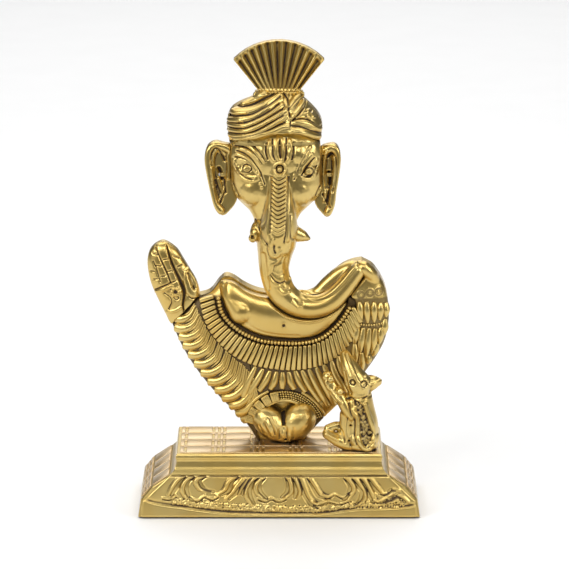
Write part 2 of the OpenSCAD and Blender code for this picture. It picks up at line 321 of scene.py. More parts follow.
# %% Find the hollows of a skin
def find_hollows(mesh, rounds=10, depth=0.32):
    """Marks where the skin lies below its own average, which is where patina gathers."""
    co = coords(mesh)
    pairs = np.empty(len(mesh.edges) * 2, np.int64)
    mesh.edges.foreach_get("vertices", pairs)
    a, b = pairs.reshape(-1, 2).T
    count = np.bincount(a, minlength=len(co)) + np.bincount(b, minlength=len(co))
    mean = co.copy()
    for _ in range(rounds):
        total = np.stack([np.bincount(a, mean[b, i], len(co)) + np.bincount(b, mean[a, i], len(co))
                          for i in range(3)], 1)
        mean = total / np.maximum(count, 1)[:, None]
    rise = ((mean - co) * normals(mesh)).sum(1)
    mark(mesh, "hollow", 0.5 + 0.5 * rise / depth)


# %% [markdown]
# ## Shader maths as plain sums
# A small class wraps a socket so that masks can be written as expressions, and one method
# adds any other node.


# %% The wrapper
class Wire:
    def __init__(self, tree, socket):
        self.tree, self.socket = tree, socket

    def node(self, kind, settings=None, output=0, **inputs):
        made = self.tree.nodes.new(kind)
        for key, value in (settings or {}).items():
            if key == "stops":
                for i, (place, colour) in enumerate(value):
                    stop = made.color_ramp.elements[i] if i < 2 else made.color_ramp.elements.new(place)
                    stop.position, stop.color = place, colour
            else:
                setattr(made, key, value)
        for key, value in inputs.items():
            socket = made.inputs[int(key[1:])] if key[0] == "i" and key[1:].isdigit() else \
                made.inputs[key.replace("_", " ")]
            if isinstance(value, Wire):
                self.tree.links.new(value.socket, socket)
            else:
                socket.default_value = value
        return Wire(self.tree, made.outputs[output])

    def sum(self, operation, a, b=0.0, c=0.0):
        return self.node("ShaderNodeMath", {"operation": operation}, i0=a, i1=b, i2=c)

    def __add__(self, other): return self.sum("ADD", self, other)
    def __radd__(self, other): return self.sum("ADD", other, self)
    def __sub__(self, other): return self.sum("SUBTRACT", self, other)
    def __rsub__(self, other): return self.sum("SUBTRACT", other, self)
    def __mul__(self, other): return self.sum("MULTIPLY", self, other)
    def __rmul__(self, other): return self.sum("MULTIPLY", other, self)
    def __pow__(self, other): return self.sum("POWER", self, other)
    def clamp(self): return self.node("ShaderNodeClamp", i0=self)
    def step(self, low, high):
        return self.node("ShaderNodeMapRange", {"interpolation_type": "SMOOTHSTEP"},
                         i0=self, i1=low, i2=high, i3=0.0, i4=1.0)

    def colour(self, a, b):
        """Colour a where this mask is 0 and b where it is 1."""
        return self.node("ShaderNodeMix", {"data_type": "RGBA"}, output=2, i0=self, i6=a, i7=b)


def new_material(name):
    """A material, its shader, and the place on the object as a wire."""
    material = bpy.data.materials.new(name)
    material.use_nodes = True
    tree = material.node_tree
    shader = next(n for n in tree.nodes if n.type == "BSDF_PRINCIPLED")
    return material, shader, Wire(tree, tree.nodes.new("ShaderNodeTexCoord").outputs["Object"])


def feed(wire, shader, name):
    """Connects a wire to one of the shader's inputs."""
    wire.tree.links.new(wire.socket, shader.inputs[name])


# %% [markdown]
# ## The metal
# The castings are polished brass under a thin clear lacquer. Black-brown patina was rubbed in
# and then wiped off the high places, so it stays in the grooves. Two things say where: the dirt
# left by the strokes and the hollows of the skin. Painted shade is added in the same dark colour
# in the corners between pieces, where the Ambient Occlusion node finds that shade falls.
# Polishing leaves a soft unevenness in the shine.


# %% Brass
def brass(name, bright=(0.68, 0.50, 0.165, 1), patina_at=(0.60, 0.95), corner=0.0016, shine=0.29):
    """Polished brass: its bright colour, where patina sets in, how far the painted corner shade reaches, and
    how rough its shine is.
    """
    material, shader, place = new_material(name)
    broad = place.node("ShaderNodeTexNoise", i0=place, Scale=70.0, Detail=2.0)
    fine = place.node("ShaderNodeTexNoise", i0=place, Scale=900.0, Detail=4.0)
    grit = place.node("ShaderNodeTexNoise", i0=place, Scale=2600.0, Detail=2.0)
    dirt = place.node("ShaderNodeAttribute", {"attribute_name": "dirt"}, output=2)
    hollow = place.node("ShaderNodeAttribute", {"attribute_name": "hollow"}, output=2)
    # Painted shade: the Ambient Occlusion node finds the corners between pieces, and they are darkened in the
    # patina's colour.
    open_air = place.node("ShaderNodeAmbientOcclusion", {"samples": 8}, output=1, Distance=corner)
    worn = (hollow + (fine - 0.5) * 0.12).step(*patina_at)
    painted_corner_shade = (1.0 - open_air + (fine - 0.5) * 0.25).step(0.42, 0.85)
    # This mask joins the patina of strokes and hollows with the painted shade in the corners.
    patina_and_painted_shade = (worn + painted_corner_shade * 0.92 + (dirt * (0.8 + fine * 0.3)).step(0.25, 0.95) * 0.9).clamp()
    warm = broad.step(0.35, 0.7).colour(bright, (bright[0] * 0.96, bright[1] * 0.90, bright[2] * 0.75, 1))
    dark = fine.step(0.35, 0.65).colour((0.035, 0.020, 0.016, 1), (0.085, 0.050, 0.022, 1))
    feed(patina_and_painted_shade.colour(warm, dark), shader, "Base Color")
    feed((shine + broad * 0.06 + (fine - 0.5) * 0.10 + patina_and_painted_shade * 0.32).clamp(), shader, "Roughness")
    feed(1.0 - patina_and_painted_shade * 0.35, shader, "Metallic")
    swell = place.node("ShaderNodeBump", Strength=0.35, Distance=0.0006, Height=broad)
    bump = place.node("ShaderNodeBump", Strength=0.06, Distance=0.00012, Height=grit + fine * 0.6,
                      Normal=swell)
    feed(bump, shader, "Normal")
    feed(0.42 - patina_and_painted_shade * 0.36, shader, "Coat Weight")
    shader.inputs["Coat Roughness"].default_value = 0.2
    return material


cast_brass = brass("cast_brass")
# A paler, greyer copy of the brass for the plinth's top boards: its light colour is a painted reflection of
# the bright room above them.
brass_with_painted_pale_reflection = brass("brass_with_painted_pale_reflection", (0.74, 0.56, 0.32, 1), shine=0.42)
print("metal ready")

# %% [markdown]
# ## Steel and felt
# The screws, washers, dowels and pins are plain bright steel with turning marks. The pad under
# the plinth is dense felt, a tangle of short fibres with a little lint.


# %% Steel and felt
def steel(name):
    """Bright turned steel."""
    material, shader, place = new_material(name)
    turned = place.node("ShaderNodeTexWave", {"bands_direction": "Z"}, i0=place, Scale=900.0, Distortion=2.0)
    spots = place.node("ShaderNodeTexNoise", i0=place, Scale=500.0, Detail=3.0)
    feed(spots.colour((0.50, 0.50, 0.51, 1), (0.66, 0.66, 0.67, 1)), shader, "Base Color")
    feed(0.25 + spots * 0.2, shader, "Roughness")
    feed(place.node("ShaderNodeBump", Strength=0.2, Distance=0.00005, Height=turned), shader, "Normal")
    shader.inputs["Metallic"].default_value = 1.0
    return material


def felt(name):
    """Dense red felt."""
    material, shader, place = new_material(name)
    tangle = place.node("ShaderNodeTexNoise", i0=place, Scale=1400.0, Detail=6.0, Roughness=0.7)
    lint = place.node("ShaderNodeTexNoise", i0=place, Scale=220.0, Detail=5.0)
    feed((tangle * 0.6 + lint * 0.4).step(0.35, 0.7).colour((0.07, 0.008, 0.012, 1), (0.19, 0.035, 0.04, 1)),
         shader, "Base Color")
    feed(0.85 + tangle * 0.1, shader, "Roughness")
    feed(place.node("ShaderNodeBump", Strength=0.8, Distance=0.0003, Height=tangle), shader, "Normal")
    shader.inputs["Sheen Weight"].default_value = 0.4
    return material


def dress(node, finish, edge=None, angle=None):
    """Gives a solid that is right as it comes its finish and, if asked, filed edges."""
    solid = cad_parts[node]
    solid.data.materials.clear()
    solid.data.materials.append(finish)
    if edge:
        solid.modifiers.new("merge", "WELD").merge_threshold = 0.000002
        ease = solid.modifiers.new("ease", "BEVEL")
        ease.width, ease.segments = edge, 3
        ease.limit_method, ease.angle_limit = "ANGLE", math.radians(angle)


bright_steel = steel("bright_steel")
for node in ("fixing_screws", "fixing_washers", "neck_dowel", "turban_dowel", "trunk_pin", "ear_pins"):
    dress(node, bright_steel)
dress("felt_pad", felt("red_felt"))
print("steel and felt ready")


# %% [markdown]
# ## Finishing a piece
# Every finished mesh goes through the same last step: up to its seat, into metres, a metal on
# it, and a ride on the one body of the idol.


# %% Finish a piece
def piece(name, mesh, nodes=(), metal=cast_brass, sharp=None):
    """Seats a finished mesh as a named piece that stands for the solids in nodes."""
    mesh.transform(Matrix.Scale(0.001, 4) @ Matrix.Translation((0, 0, seat)))
    mesh.shade_smooth()
    if sharp:
        mesh.set_sharp_from_angle(angle=math.radians(sharp))
    mesh.materials.clear()
    mesh.materials.append(metal)
    mesh.name = name
    made = placed(name, mesh)
    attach(made, "root")
    if nodes:
        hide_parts(*nodes)
    mesh.calc_loop_triangles()
    print(f"{name}: {len(mesh.loop_triangles)} triangles")


def to_mesh(bm, name="work"):
    """Turns a bmesh into a mesh whose faces look outwards."""
    mesh = bpy.data.meshes.new(name)
    bmesh.ops.recalc_face_normals(bm, faces=bm.faces)
    bm.to_mesh(mesh)
    bm.free()
    return mesh


# %% Bars and beads
def bars(paths, sides=3, steps=5):
    """Round bars along paths of (x, y, z, radius), with closed ends."""
    data = bpy.data.curves.new("bars", "CURVE")
    data.dimensions, data.bevel_depth, data.bevel_resolution = "3D", 1.0, sides
    data.use_fill_caps = True
    for path in paths:
        line = curve(path, steps)
        spline = data.splines.new("POLY")
        spline.points.add(len(line) - 1)
        spline.points.foreach_set("co", np.column_stack([line[:, :3], np.ones(len(line))]).ravel())
        spline.points.foreach_set("radius", np.maximum(line[:, 3], 0.02))
    bm = reopened(baked(placed("bars", data)))
    bmesh.ops.remove_doubles(bm, verts=bm.verts, dist=0.001)
    return to_mesh(bm)


def facing_frame(spot, way, tip=0.0):
    """Local X runs along way, local Y looks into the relief, local Z lies across it."""
    x = Vector(way).normalized()
    z = x.cross(Vector((0, -1, 0))).normalized()
    y = z.cross(x).normalized()
    turn = Matrix((x, y, z)).transposed().to_4x4()
    return Matrix.Translation(spot) @ turn @ Matrix.Rotation(math.radians(tip), 4, "Z")


def bead(bm, spot, way, size, detail=2):
    """An egg-shaped bead, laid along a direction."""
    bmesh.ops.create_icosphere(bm, subdivisions=detail, radius=1,
                               matrix=facing_frame(spot, way) @ Matrix.Diagonal((*size, 1)))


def block(bm, matrix, size, soft=0.3, widen=1.0):
    """A small block with rounded edges, widened at its far end if asked."""
    made = bmesh.ops.create_cube(bm, size=2)["verts"]
    bmesh.ops.scale(bm, vec=size, verts=made)
    for v in made:
        if v.co.x > 0:
            v.co.z *= widen
    edges = list({e for v in made for e in v.link_edges})
    made = bmesh.ops.bevel(bm, geom=edges + made, offset=soft, offset_type="OFFSET", segments=2,
                           profile=0.5, affect="EDGES", material=-1, clamp_overlap=True)["verts"]
    whole, stack = set(made), list(made)
    while stack:
        for e in stack.pop().link_edges:
            for v in e.verts:
                if v not in whole:
                    whole.add(v)
                    stack.append(v)
    bmesh.ops.transform(bm, matrix=matrix, verts=list(whole))


def tile(bm, spot, way, size, soft=0.3, widen=1.0):
    """The same block, laid on the front along a direction."""
    block(bm, facing_frame(spot, way), size, soft, widen)


# %% [markdown]
# ## The body's swell
# The body is a shallow relief: low at its outline and full in the middle. One function gives
# the depth of its front everywhere, so the skins can be swelled by it and the ornaments can
# be laid on it.

# %% The body's outline and swell
left_edge = curve([(-43.4, 49.6), (-40, 41.4), (-35.3, 33), (-29.4, 24.8), (-22.8, 17.2), (-16.4, 11),
                   (-12.4, 6.2), (-8.5, 0)])
right_edge = curve([(10, 0), (15.9, 7.4), (26.9, 18.6), (33.4, 27), (39.6, 36), (43.2, 43.6), (44.6, 53.4),
                    (43, 64.4), (38.8, 72), (36, 74.2)])
top_edge = curve([(33.4, 75.5), (29.4, 74.7), (24.6, 72.2), (18.6, 66.5), (14, 62.5), (8, 61), (0, 61.4),
                  (-8, 62.6), (-13.6, 64.9), (-18.2, 68), (-21.6, 69), (-24.4, 66.8), (-28, 62.3),
                  (-33.5, 60.6)])
body_line = np.vstack([left_edge, right_edge, top_edge])
belly_line = curve([(-23.1, 62.4), (-21.7, 56), (-18.1, 51.3), (-12.6, 47.5), (-6.5, 45.1), (1.5, 44.1),
                    (9.8, 44), (16, 45.6), (20.7, 49), (24.3, 53), (27.9, 58.9)])
collar_line = curve([(-31.2, 60), (-29.2, 52.1), (-25.6, 45.4), (-18.7, 38.7), (-10.2, 34.1), (1.6, 32),
                     (11.8, 32.6), (19.9, 35.3), (25.6, 40), (29.6, 45.8), (31, 51.3), (31, 60)])
edge_y, full_y, reach = -1.2, -5.4, 9.0


def skin_y(spots):
    """Depth of the body's front at each (x, z)."""
    spots = np.atleast_2d(np.array(spots, float))
    gap, _ = distance(spots, np.vstack([body_line, body_line[:1]]))
    rise = bulge(gap, reach) * inside(spots, body_line)
    return edge_y + (full_y - edge_y) * rise


def swelled(mesh, cad_front):
    """Scales a casting's depth so that its front follows the body's swell."""
    co = coords(mesh)
    co[:, 1] = np.where(co[:, 1] < 0, co[:, 1] * skin_y(co[:, [0, 2]]) / cad_front, co[:, 1])
    set_coords(mesh, co)
    return mesh


def lay(path, sink=0.0, sizes=(1.0, 1.0), bury=0.0):
    """Lifts a front-view path onto the body, as (x, y, z, radius) points."""
    line = curve(path, 3)
    thick = np.interp(np.linspace(0, 1, len(line)), np.linspace(0, 1, len(sizes)), sizes)
    return np.column_stack([line[:, 0], skin_y(line) + sink + bury * thick, line[:, 1], thick])


def on_skin(spots, ways, proud):
    """Each spot set proud of the body's front, with the direction along its row."""
    for spot, way, y in zip(spots, ways, skin_y(spots)):
        yield Vector((spot[0], y - proud, spot[1])), Vector((way[0], 0, way[1]))


print("deepest swell", round(float(skin_y([(2, 30)])[0]), 2), "mm")

# %% [markdown]
# ## The plate behind the body
# The torso plate is right as it comes. Its sharp edges are eased with a Weld and a Bevel
# modifier, because the casting's edges were filed.

# %% Torso
dress("torso", cast_brass, edge=0.0012, angle=50)
print("torso edges eased")

# %% [markdown]
# ## Belly
# A smooth, full dome between the shoulder and the collar, with a drilled navel in a shallow
# ring, and a fine cord under the trunk. It is the one large plain surface, so its
# curve is what makes the long highlights.

# %% Belly
belly = swelled(fused(blank("belly"), 0.5), -4)
co = coords(belly)
gap, _ = distance(co[:, [0, 2]], np.vstack([belly_line, [(13.4, 75), (-19.5, 85)], belly_line[:1]]))
dome_height, dome_reach, rim_drop = 4.2, 13, 0.8
co[:, 1] -= np.where(co[:, 1] < -0.5, dome_height * bulge(gap, dome_reach) - rim_drop, 0)
set_coords(belly, co)
bm = reopened(belly)
roll(bm, [(-21.4, -1.6, 65.0), (-19.2, -3.2, 60.8), (-15.0, -3.8, 55.6)], [3.0, 4.2, 5.8], 18)
belly = fused(bm, 0.42, 6)
under_trunk = [(-2.4, 57.4), (1.2, 54.6), (5.4, 52.3), (10, 51.4), (15, 51.8), (20, 53.6), (24.4, 56.6)]
navel = (1.9, 50.2)
sculpt(belly, dots(1.9, 0.35, navel) + dots(1.25, -1.0, navel)
       + grooves(0.8, 0.15, [(-14.5, 53), (-11.5, 49.8), (-7, 47.4), (0, 46), (8, 45.6)], dirt=0.2))
find_hollows(belly)
piece("belly_dome", belly, ["belly"])
piece("belly_cords", bars([lay(under_trunk, -3.2, (0.2, 0.45, 0.5, 0.45, 0.2))]))

# %% [markdown]
# ## Bead collar
# Two rows hang round the belly: small round beads, then long beads set side by side like keys.
# Both are repeated shapes, so one small bead with few faces is laid again and again along a
# line. The ground under them is the collar's own casting.

# %% Collar ground and beads
collar = swelled(fused(blank("bead_collar"), 0.5), -4.5)
co = coords(collar)
ground_drop = 1.3
co[:, 1] = np.where(co[:, 1] < -0.8, co[:, 1] + ground_drop, co[:, 1])
set_coords(collar, co)
mark(collar, "dirt", np.interp(coords(collar)[:, 2], [60.5, 63], [0.95, 0.15]))
find_hollows(collar)
piece("collar_ground", collar, ["bead_collar"])

bead_row = curve([(-24.7, 61.5), (-23.2, 55.2), (-19.2, 50), (-13.6, 46), (-7, 43.4), (1.5, 42.4),
                  (10.2, 42.5), (17, 44.4), (22, 48.2), (25.7, 52.4), (28.9, 57.6)])
long_inner = curve([(-26.4, 61.4), (-24.7, 54.6), (-20.4, 48.9), (-14.7, 44.9), (-7.4, 42.2), (1.6, 41.2),
                    (10.8, 41.5), (17.8, 43.6), (22.9, 47.6), (26.8, 52.2), (29.8, 57.4)])
long_outer = curve([(-32.2, 59.6), (-30.2, 51.9), (-26.5, 45), (-19.5, 37.8), (-10.6, 33.2), (1.6, 31.1),
                    (12, 31.7), (20.5, 34.5), (26.4, 39.4), (30.6, 45.2), (33.2, 51)])
bm = bmesh.new()
for spot, way in on_skin(*along(bead_row, 50, 0.01, 0.99), 0.35):
    bead(bm, spot, way, (0.74, 1.0, 0.95))
piece("collar_small_beads", to_mesh(bm))
bm = bmesh.new()
inner, _ = along(long_inner, 40)
outer, _ = along(long_outer, 40)
for (a, _), (b, _) in zip(on_skin(inner, inner, 0.1), on_skin(outer, outer, -0.1)):
    tile(bm, (a + b) / 2, b - a, ((b - a).length / 2, 1.25, 0.72), 0.5, 1.35)
piece("collar_long_beads", to_mesh(bm))

# %% [markdown]
# ## Bangled forearm
# A dozen bangles wrap the forearm from the outer edge inwards. Each is a bar that is broad and
# flat where it turns over the edge and runs out to a thin tip, with finer wires between the
# tips. Tapered curves turned into meshes give exactly that.

# %% Forearm
forearm = swelled(fused(blank("bangled_forearm"), 0.5), -5)
mark(forearm, "dirt", np.full(len(forearm.vertices), 0.95))
find_hollows(forearm)
piece("forearm_ground", forearm, ["bangled_forearm"])
starts = [(-43.6, 51.2), (-42.6, 47.6), (-40.9, 43.9), (-39.3, 40.2), (-37.2, 36.3), (-34.9, 32.4),
          (-32.3, 28.5), (-29.5, 24.6), (-26.6, 20.9), (-23.6, 17.4), (-20.4, 14), (-17.2, 10.8),
          (-14.6, 8.4)]
tips = [(-34.4, 57.2), (-33, 54), (-31.4, 50.8), (-29.8, 47.5), (-27.4, 44.2), (-24.6, 41), (-21.6, 38),
        (-18.8, 35.2), (-16, 33), (-13.8, 30.4), (-12, 27.4), (-11.4, 23.6), (-11.6, 19.6)]
bangles, wires = [], []
for i, (a, b) in enumerate(zip(starts, tips)):
    a, b = np.array(a, float), np.array(b, float)
    run = b - a
    out = np.array([run[1], -run[0]]) / np.linalg.norm(run)
    sag = 0.20 * np.linalg.norm(run)
    b = b + 0.07 * run
    path = [a + 0.11 * run, a + 0.33 * run + out * sag * 0.85, a + 0.68 * run + out * sag, b]
    bangles.append(lay(path, 0.0, (2.2, 2.2, 2.0, 1.4, 0.9, 0.6), 0.45))
    for shift, size in ((1.5, 0.5), (2.5, 0.42), (-1.2, 0.4)):
        thin = [a + 0.42 * run + out * (sag * 0.9 + shift), a + 0.72 * run + out * (sag * 0.9 + shift * 0.9),
                b + out * shift * 0.7]
        wires.append(lay(thin, -0.3, (0.2, size, size, 0.3)))
piece("bangles", bars(bangles, 4))
piece("bangle_wires", bars(wires, 2))

# %% [markdown]
# ## Pleated skirt
# Pleats fan out from under the collar to the anklets. They are soft ridges, thickest in the
# middle, over a dark ground.

# %% Skirt
skirt = swelled(fused(blank("pleated_skirt"), 0.5), -4)
mark(skirt, "dirt", np.interp(coords(skirt)[:, 2], [14, 20], [0.1, 0.95]))
find_hollows(skirt)
piece("skirt_ground", skirt, ["pleated_skirt"])
lines = (((-9.5, 32.6), (-12.6, 26), (-14.6, 19.6)), ((-6.4, 31.6), (-9.2, 26.4), (-12.4, 21)),
         ((-3.6, 30.8), (-5.6, 26.2), (-8.2, 22.2)), ((-1, 30.4), (-2, 26), (-3.6, 22.9)),
         ((1.4, 30.2), (1.4, 26), (1.3, 23.2)), ((3.8, 30.4), (4.7, 26), (6.3, 22.9)),
         ((6.4, 30.8), (8.3, 26), (10.8, 21.8)), ((9.2, 31), (12, 25), (16.6, 17.6)),
         ((12, 31.4), (15.2, 24.6), (19.8, 15.8)), ((15, 32.2), (18, 25.4), (22.6, 16)),
         ((18, 33.4), (20.6, 27), (25.2, 18)), ((21.2, 34.8), (23, 29), (27.8, 20.6)),
         ((23.8, 37), (25.4, 31), (30, 24)), ((26.6, 39.6), (28.2, 34), (31.6, 27.6)))
piece("pleats", bars([lay(line, 0.0, (0.8, 1.45, 1.6, 1.5, 1.2), 0.25) for line in lines]))

# %% [markdown]
# ## Folded arm
# The shoulder is smooth. Below it an armlet of three rings carries petals, a row of beads and
# a fan of feathers that runs out to the elbow.

# %% Folded arm
arm = swelled(fused(blank("folded_arm"), 0.45), -4)
bm = reopened(arm)
roll(bm, [(34.0, -4.0, 73.4), (36.6, -3.4, 71.0), (38.8, -2.0, 67.4)], [2.9, 2.8, 2.2], 18)
arm = fused(bm, 0.42, 6)
work = []
for x, z in ((33.1, 62.4), (36.7, 63.2), (40.3, 63.4)):
    ring = circle(x, z, 1.45, 13, end=2 * math.pi)
    work += [stroke(ring, 0.5, 0.55, smooth=False), stroke(ring, 1.0, -0.25, "soft", False, dirt=0.8)]
    work += dots(0.6, 0.5, (x, z), edge="round")
sculpt(arm, work)
mark(arm, "dirt", np.maximum(marked(arm, "dirt"), 0.75 * (coords(arm)[:, 2] < 61)))
find_hollows(arm)
piece("arm_ground", arm, ["folded_arm"])
petal_lines = (((32.4, 59.6), (33.4, 51.6)), ((35.4, 59.6), (35.9, 50.6)), ((38.5, 59.4), (38.5, 50.8)),
               ((41.2, 59), (40.8, 51.6)))
feather_lines = (((31.8, 49.4), (30.4, 41.6)), ((34.2, 48.8), (32.6, 37.6)), ((36.6, 48.6), (35.2, 36)),
                 ((39, 48.4), (37.6, 37.4)), ((41.4, 48.6), (40.4, 41.4)), ((30.6, 42), (31.2, 34)),
                 ((33.4, 38.4), (33.6, 30)), ((36.2, 37), (36, 33)), ((39.8, 42), (38, 36.4)),
                 ((43, 52), (42.4, 45)), ((43.4, 58.6), (43.2, 52.6)))
petals = []
for lines, sizes in ((petal_lines, (0.8, 1.6, 1.6, 1.2, 0.5)), (feather_lines, (0.9, 1.5, 1.7, 1.4, 0.5))):
    for top, foot in lines:
        middle = tuple((np.array(top) + foot) / 2)
        petals.append(lay([top, middle, foot], -0.1, sizes, 0.2))
piece("arm_petals", bars(petals))
bm = bmesh.new()
bead_line = curve([(31.2, 50.4), (34.5, 50), (38, 49.8), (42.6, 50.4)])
for spot, way in on_skin(*along(bead_line, 12), 0.1):
    bead(bm, spot, way, (0.5, 0.6, 0.6))
piece("arm_beads", to_mesh(bm))

# %% [markdown]
# ## More ways to work the wax
# Head, palm and turban are reliefs with their own swell. A skin that covers two castings is
# worked whole and then cut at their joint.

# %% Reliefs and halves
def relief(mesh, outline, edge, full, reach, hind=2.0):
    """Swells a skin: depth edge at its outline, full (a list of z, depth) further in."""
    co = coords(mesh)
    level = np.round(co[:, 2]).astype(int)
    keys = sorted(set(level))
    front = np.interp(co[:, 2], keys, [co[level == z, 1].min() for z in keys])
    line = np.array(outline, float)
    gap, _ = distance(co[:, [0, 2]], np.vstack([line, line[:1]]))
    rise = bulge(gap, reach)
    depth = np.interp(co[:, 2], [z for z, _ in full], [d for _, d in full])
    target = -(edge + (depth - edge) * rise)
    back = np.interp(gap, [0, hind], [0.55, 1]) if hind else 1
    co[:, 1] = np.where(co[:, 1] < 0, co[:, 1] / front * target, co[:, 1] * back)
    set_coords(mesh, co)
    return mesh


def half(mesh, spot, way, beyond):
    """The part of a skin beyond or before a plane, closed where it is cut."""
    bm = reopened(mesh)
    made = bmesh.ops.bisect_plane(bm, geom=bm.verts[:] + bm.edges[:] + bm.faces[:], dist=1e-5,
                                  plane_co=spot, plane_no=way, clear_inner=beyond, clear_outer=not beyond)
    rim = [e for e in made["geom_cut"] if isinstance(e, bmesh.types.BMEdge)]
    bmesh.ops.edgeloop_fill(bm, edges=rim)
    return to_mesh(bm)


# %% [markdown]
# ## Head and trunk
# They are two castings, but their surface runs on without a break, so they are worked as one
# skin and cut at the joint. The face is the casting's own solid, swelled; cheeks, forehead,
# eyes and the trunk's root are eggs and rolls of wax on it. Strokes then draw the brows, the
# almond eyes, the forehead mark and the plaited strip that runs down to the first scroll.

# %% Wax for the head and the trunk
head_line = [(16.5, 125), (17.3, 116), (17.4, 107.5), (15.9, 102.8), (12.4, 99.2), (8.9, 95.8), (7.2, 92.4),
             (7.5, 88.5), (7.1, 84.5), (6, 79), (-9, 79), (-9.7, 84.5), (-10, 89), (-10.2, 93.6), (-12, 97),
             (-15.4, 100.2), (-18, 104), (-19.2, 109), (-19.6, 116), (-19.6, 125), (-19.5, 133), (16.5, 133)]
face = relief(fused(blank("head"), 0.5, 3), head_line, 2.5,
              [(81, 8), (90, 8.5), (98, 9.5), (104, 11), (112, 11), (119, 10.5), (122, 9), (126, 5.5)], 12)
co = coords(face)
jaw_top, jaw_fade, jaw_middle, jaw_taper = 90, 8, -1.2, 0.14
low = np.clip((jaw_top - co[:, 2]) / jaw_fade, 0, 1)
co[:, 0] = jaw_middle + (co[:, 0] - jaw_middle) * (1 - jaw_taper * low)
set_coords(face, co)
bm = reopened(face)
roll(bm, [(-0.2, -5.5, 122), (-0.2, -7.6, 116), (0.1, -9.2, 108), (0.2, -9.4, 100), (0.1, -8.6, 93),
          (-0.6, -7.2, 87), (-1.4, -5.9, 82), (-1.9, -5.4, 77), (-2.0, -5.4, 73.5), (-1.4, -5.4, 70),
          (-0.3, -5.5, 66.4), (2.0, -5.7, 62.6), (6.2, -5.8, 59.2), (11, -5.8, 57.7), (15.9, -5.8, 57.8),
          (20.6, -5.6, 59.8), (24.8, -5.3, 63.6), (28.4, -4.8, 68), (31.4, -4.4, 72)],
     [3.6, 4.3, 4.7, 5.0, 5.6, 6.8, 7.9, 8.0, 6.9, 6.1, 5.9, 5.7, 5.3, 5.0, 4.8, 4.5, 4.1, 3.8, 3.3], 110)
roll(bm, [(7, -0.6, 61.4), (12, -0.6, 60.6), (16, -0.6, 62.2), (20, -0.6, 66), (24.6, -0.6, 70),
          (29, -0.6, 72.6), (32.6, -0.6, 73)], [2.2, 2.6, 2.9, 3.2, 3.2, 3, 2.6], 60)
lump(bm, (-1.3, -5.2, 120), (18.6, 7.0, 13.4))
lump(bm, (-8.0, -4.6, 121.4), (7.4, 7.6, 7), (0, -20, 0))
lump(bm, (7.2, -4.6, 121.2), (6.6, 7.6, 7), (0, 20, 0))
lump(bm, (-9.2, -3.6, 107), (8.2, 7.6, 8.8), (0, 20, 0))
lump(bm, (7.4, -3.6, 107), (7.4, 7.6, 8.8), (0, -20, 0))
lump(bm, (-12.9, -5.6, 115.3), (4.6, 5.7, 3.2), (0, -20, 0))
lump(bm, (11.9, -5.6, 114.6), (3.7, 5.6, 3.0), (0, 22, 0))
lump(bm, (-8.2, -5.4, 89), (3.4, 3.6, 4.8), (0, 10, 0))
lump(bm, (5.8, -5.4, 88.6), (2.8, 3.4, 4.2), (0, -15, 0))
wax = fused(bm, 0.34, 5)
print("wax for head and trunk:", len(wax.polygons), "faces")

# %% Work the face
left_eye, right_eye = (-12.8, 115.6), (12.0, 114.3)
work = ridges(0.75, 0.45,
              [(-16.9, 125.4), (-13.2, 125.5), (-10.9, 124), (-8.6, 121.4), (-6.3, 118.6)],
              [(-15.5, 123.5), (-13.4, 123.1), (-10.9, 121.7), (-8.9, 119.8), (-7.3, 117.7)],
              [(-17.3, 121.2), (-15.5, 120.7), (-13.4, 119.8), (-11.4, 118.4), (-9.8, 116.3), (-7.7, 113.2)],
              [(-18, 118.6), (-17.4, 115.3), (-15.1, 112.3), (-11.6, 110.6), (-8.6, 111.4)],
              [(12.4, 124), (10.8, 121.9), (9.4, 119.5), (7.8, 115.8), (6.4, 112.3)],
              [(13.1, 121.2), (11.9, 119.3), (9.9, 116.7), (8.5, 113.7)],
              [(15.2, 118.6), (13.1, 116.7), (11.5, 114.9), (9.9, 112.3)],
              [(9.9, 111.6), (12.4, 111.1), (14.5, 112.5), (15.4, 114.9)])
work += ridges(0.5, 0.3,
               [(-16.2, 119.3), (-14.1, 118.8), (-12.1, 117.9), (-10.5, 116), (-8.4, 113)],
               [(-16.9, 116.7), (-15.5, 114.2), (-12.8, 112.3), (-9.8, 112), (-8.2, 113)],
               [(14.5, 115.6), (12.4, 114.4), (10.8, 112.7)])
work += grooves(0.6, 0.5,
                [(-11.8, 126.8), (-9.1, 124), (-7, 121.4), (-5.6, 118.6)],
                [(-17.8, 124.3), (-14.4, 124.3), (-10.9, 122.8), (-8.4, 120.2), (-6.9, 117.9)],
                [(-16.9, 122.5), (-14.1, 121.7), (-11.8, 120.2), (-10, 118), (-7.9, 114.9), (-6.6, 111.8),
                 (-5.7, 109.2)],
                [(-17.6, 119.9), (-15, 119.7), (-12.9, 118.9), (-11, 117.3), (-9.2, 114.8)],
                [(-17.9, 117.2), (-16.4, 114.2), (-13.9, 111.9), (-10.4, 111.0)],
                [(11.7, 123), (10.1, 120.8), (8.6, 117.8), (7.1, 114), (6, 111)],
                [(14.2, 119.6), (12.6, 117.9), (10.9, 115.8), (9.2, 112.9)],
                [(9.4, 112.4), (12.2, 112), (13.9, 113.4), (15, 116)])
work += [stroke(circle(*eye, 1.9, 13, 1.7), 0.45, -0.4, "soft", False) for eye in (left_eye, right_eye)]
work += dots(0.6, -0.5, left_eye, right_eye) + dots(0.8, 0.4, (-7.5, 109.5), (-7, 107.9))
work += ridges(0.65, 0.5,
               [(-3.7, 126.8), (-4.3, 124.2), (-4.0, 121.9), (-3.1, 120), (-2.0, 118.8)],
               [(0, 128.2), (-0.9, 125.4), (-0.8, 121.9), (0.5, 118.3)],
               [(0.8, 127.9), (1.6, 124.4), (1.8, 121.2), (1.1, 118.3)],
               [(4.2, 127.2), (4.9, 124.2), (4.3, 122.1), (4.2, 120.2), (3.2, 118.6)])
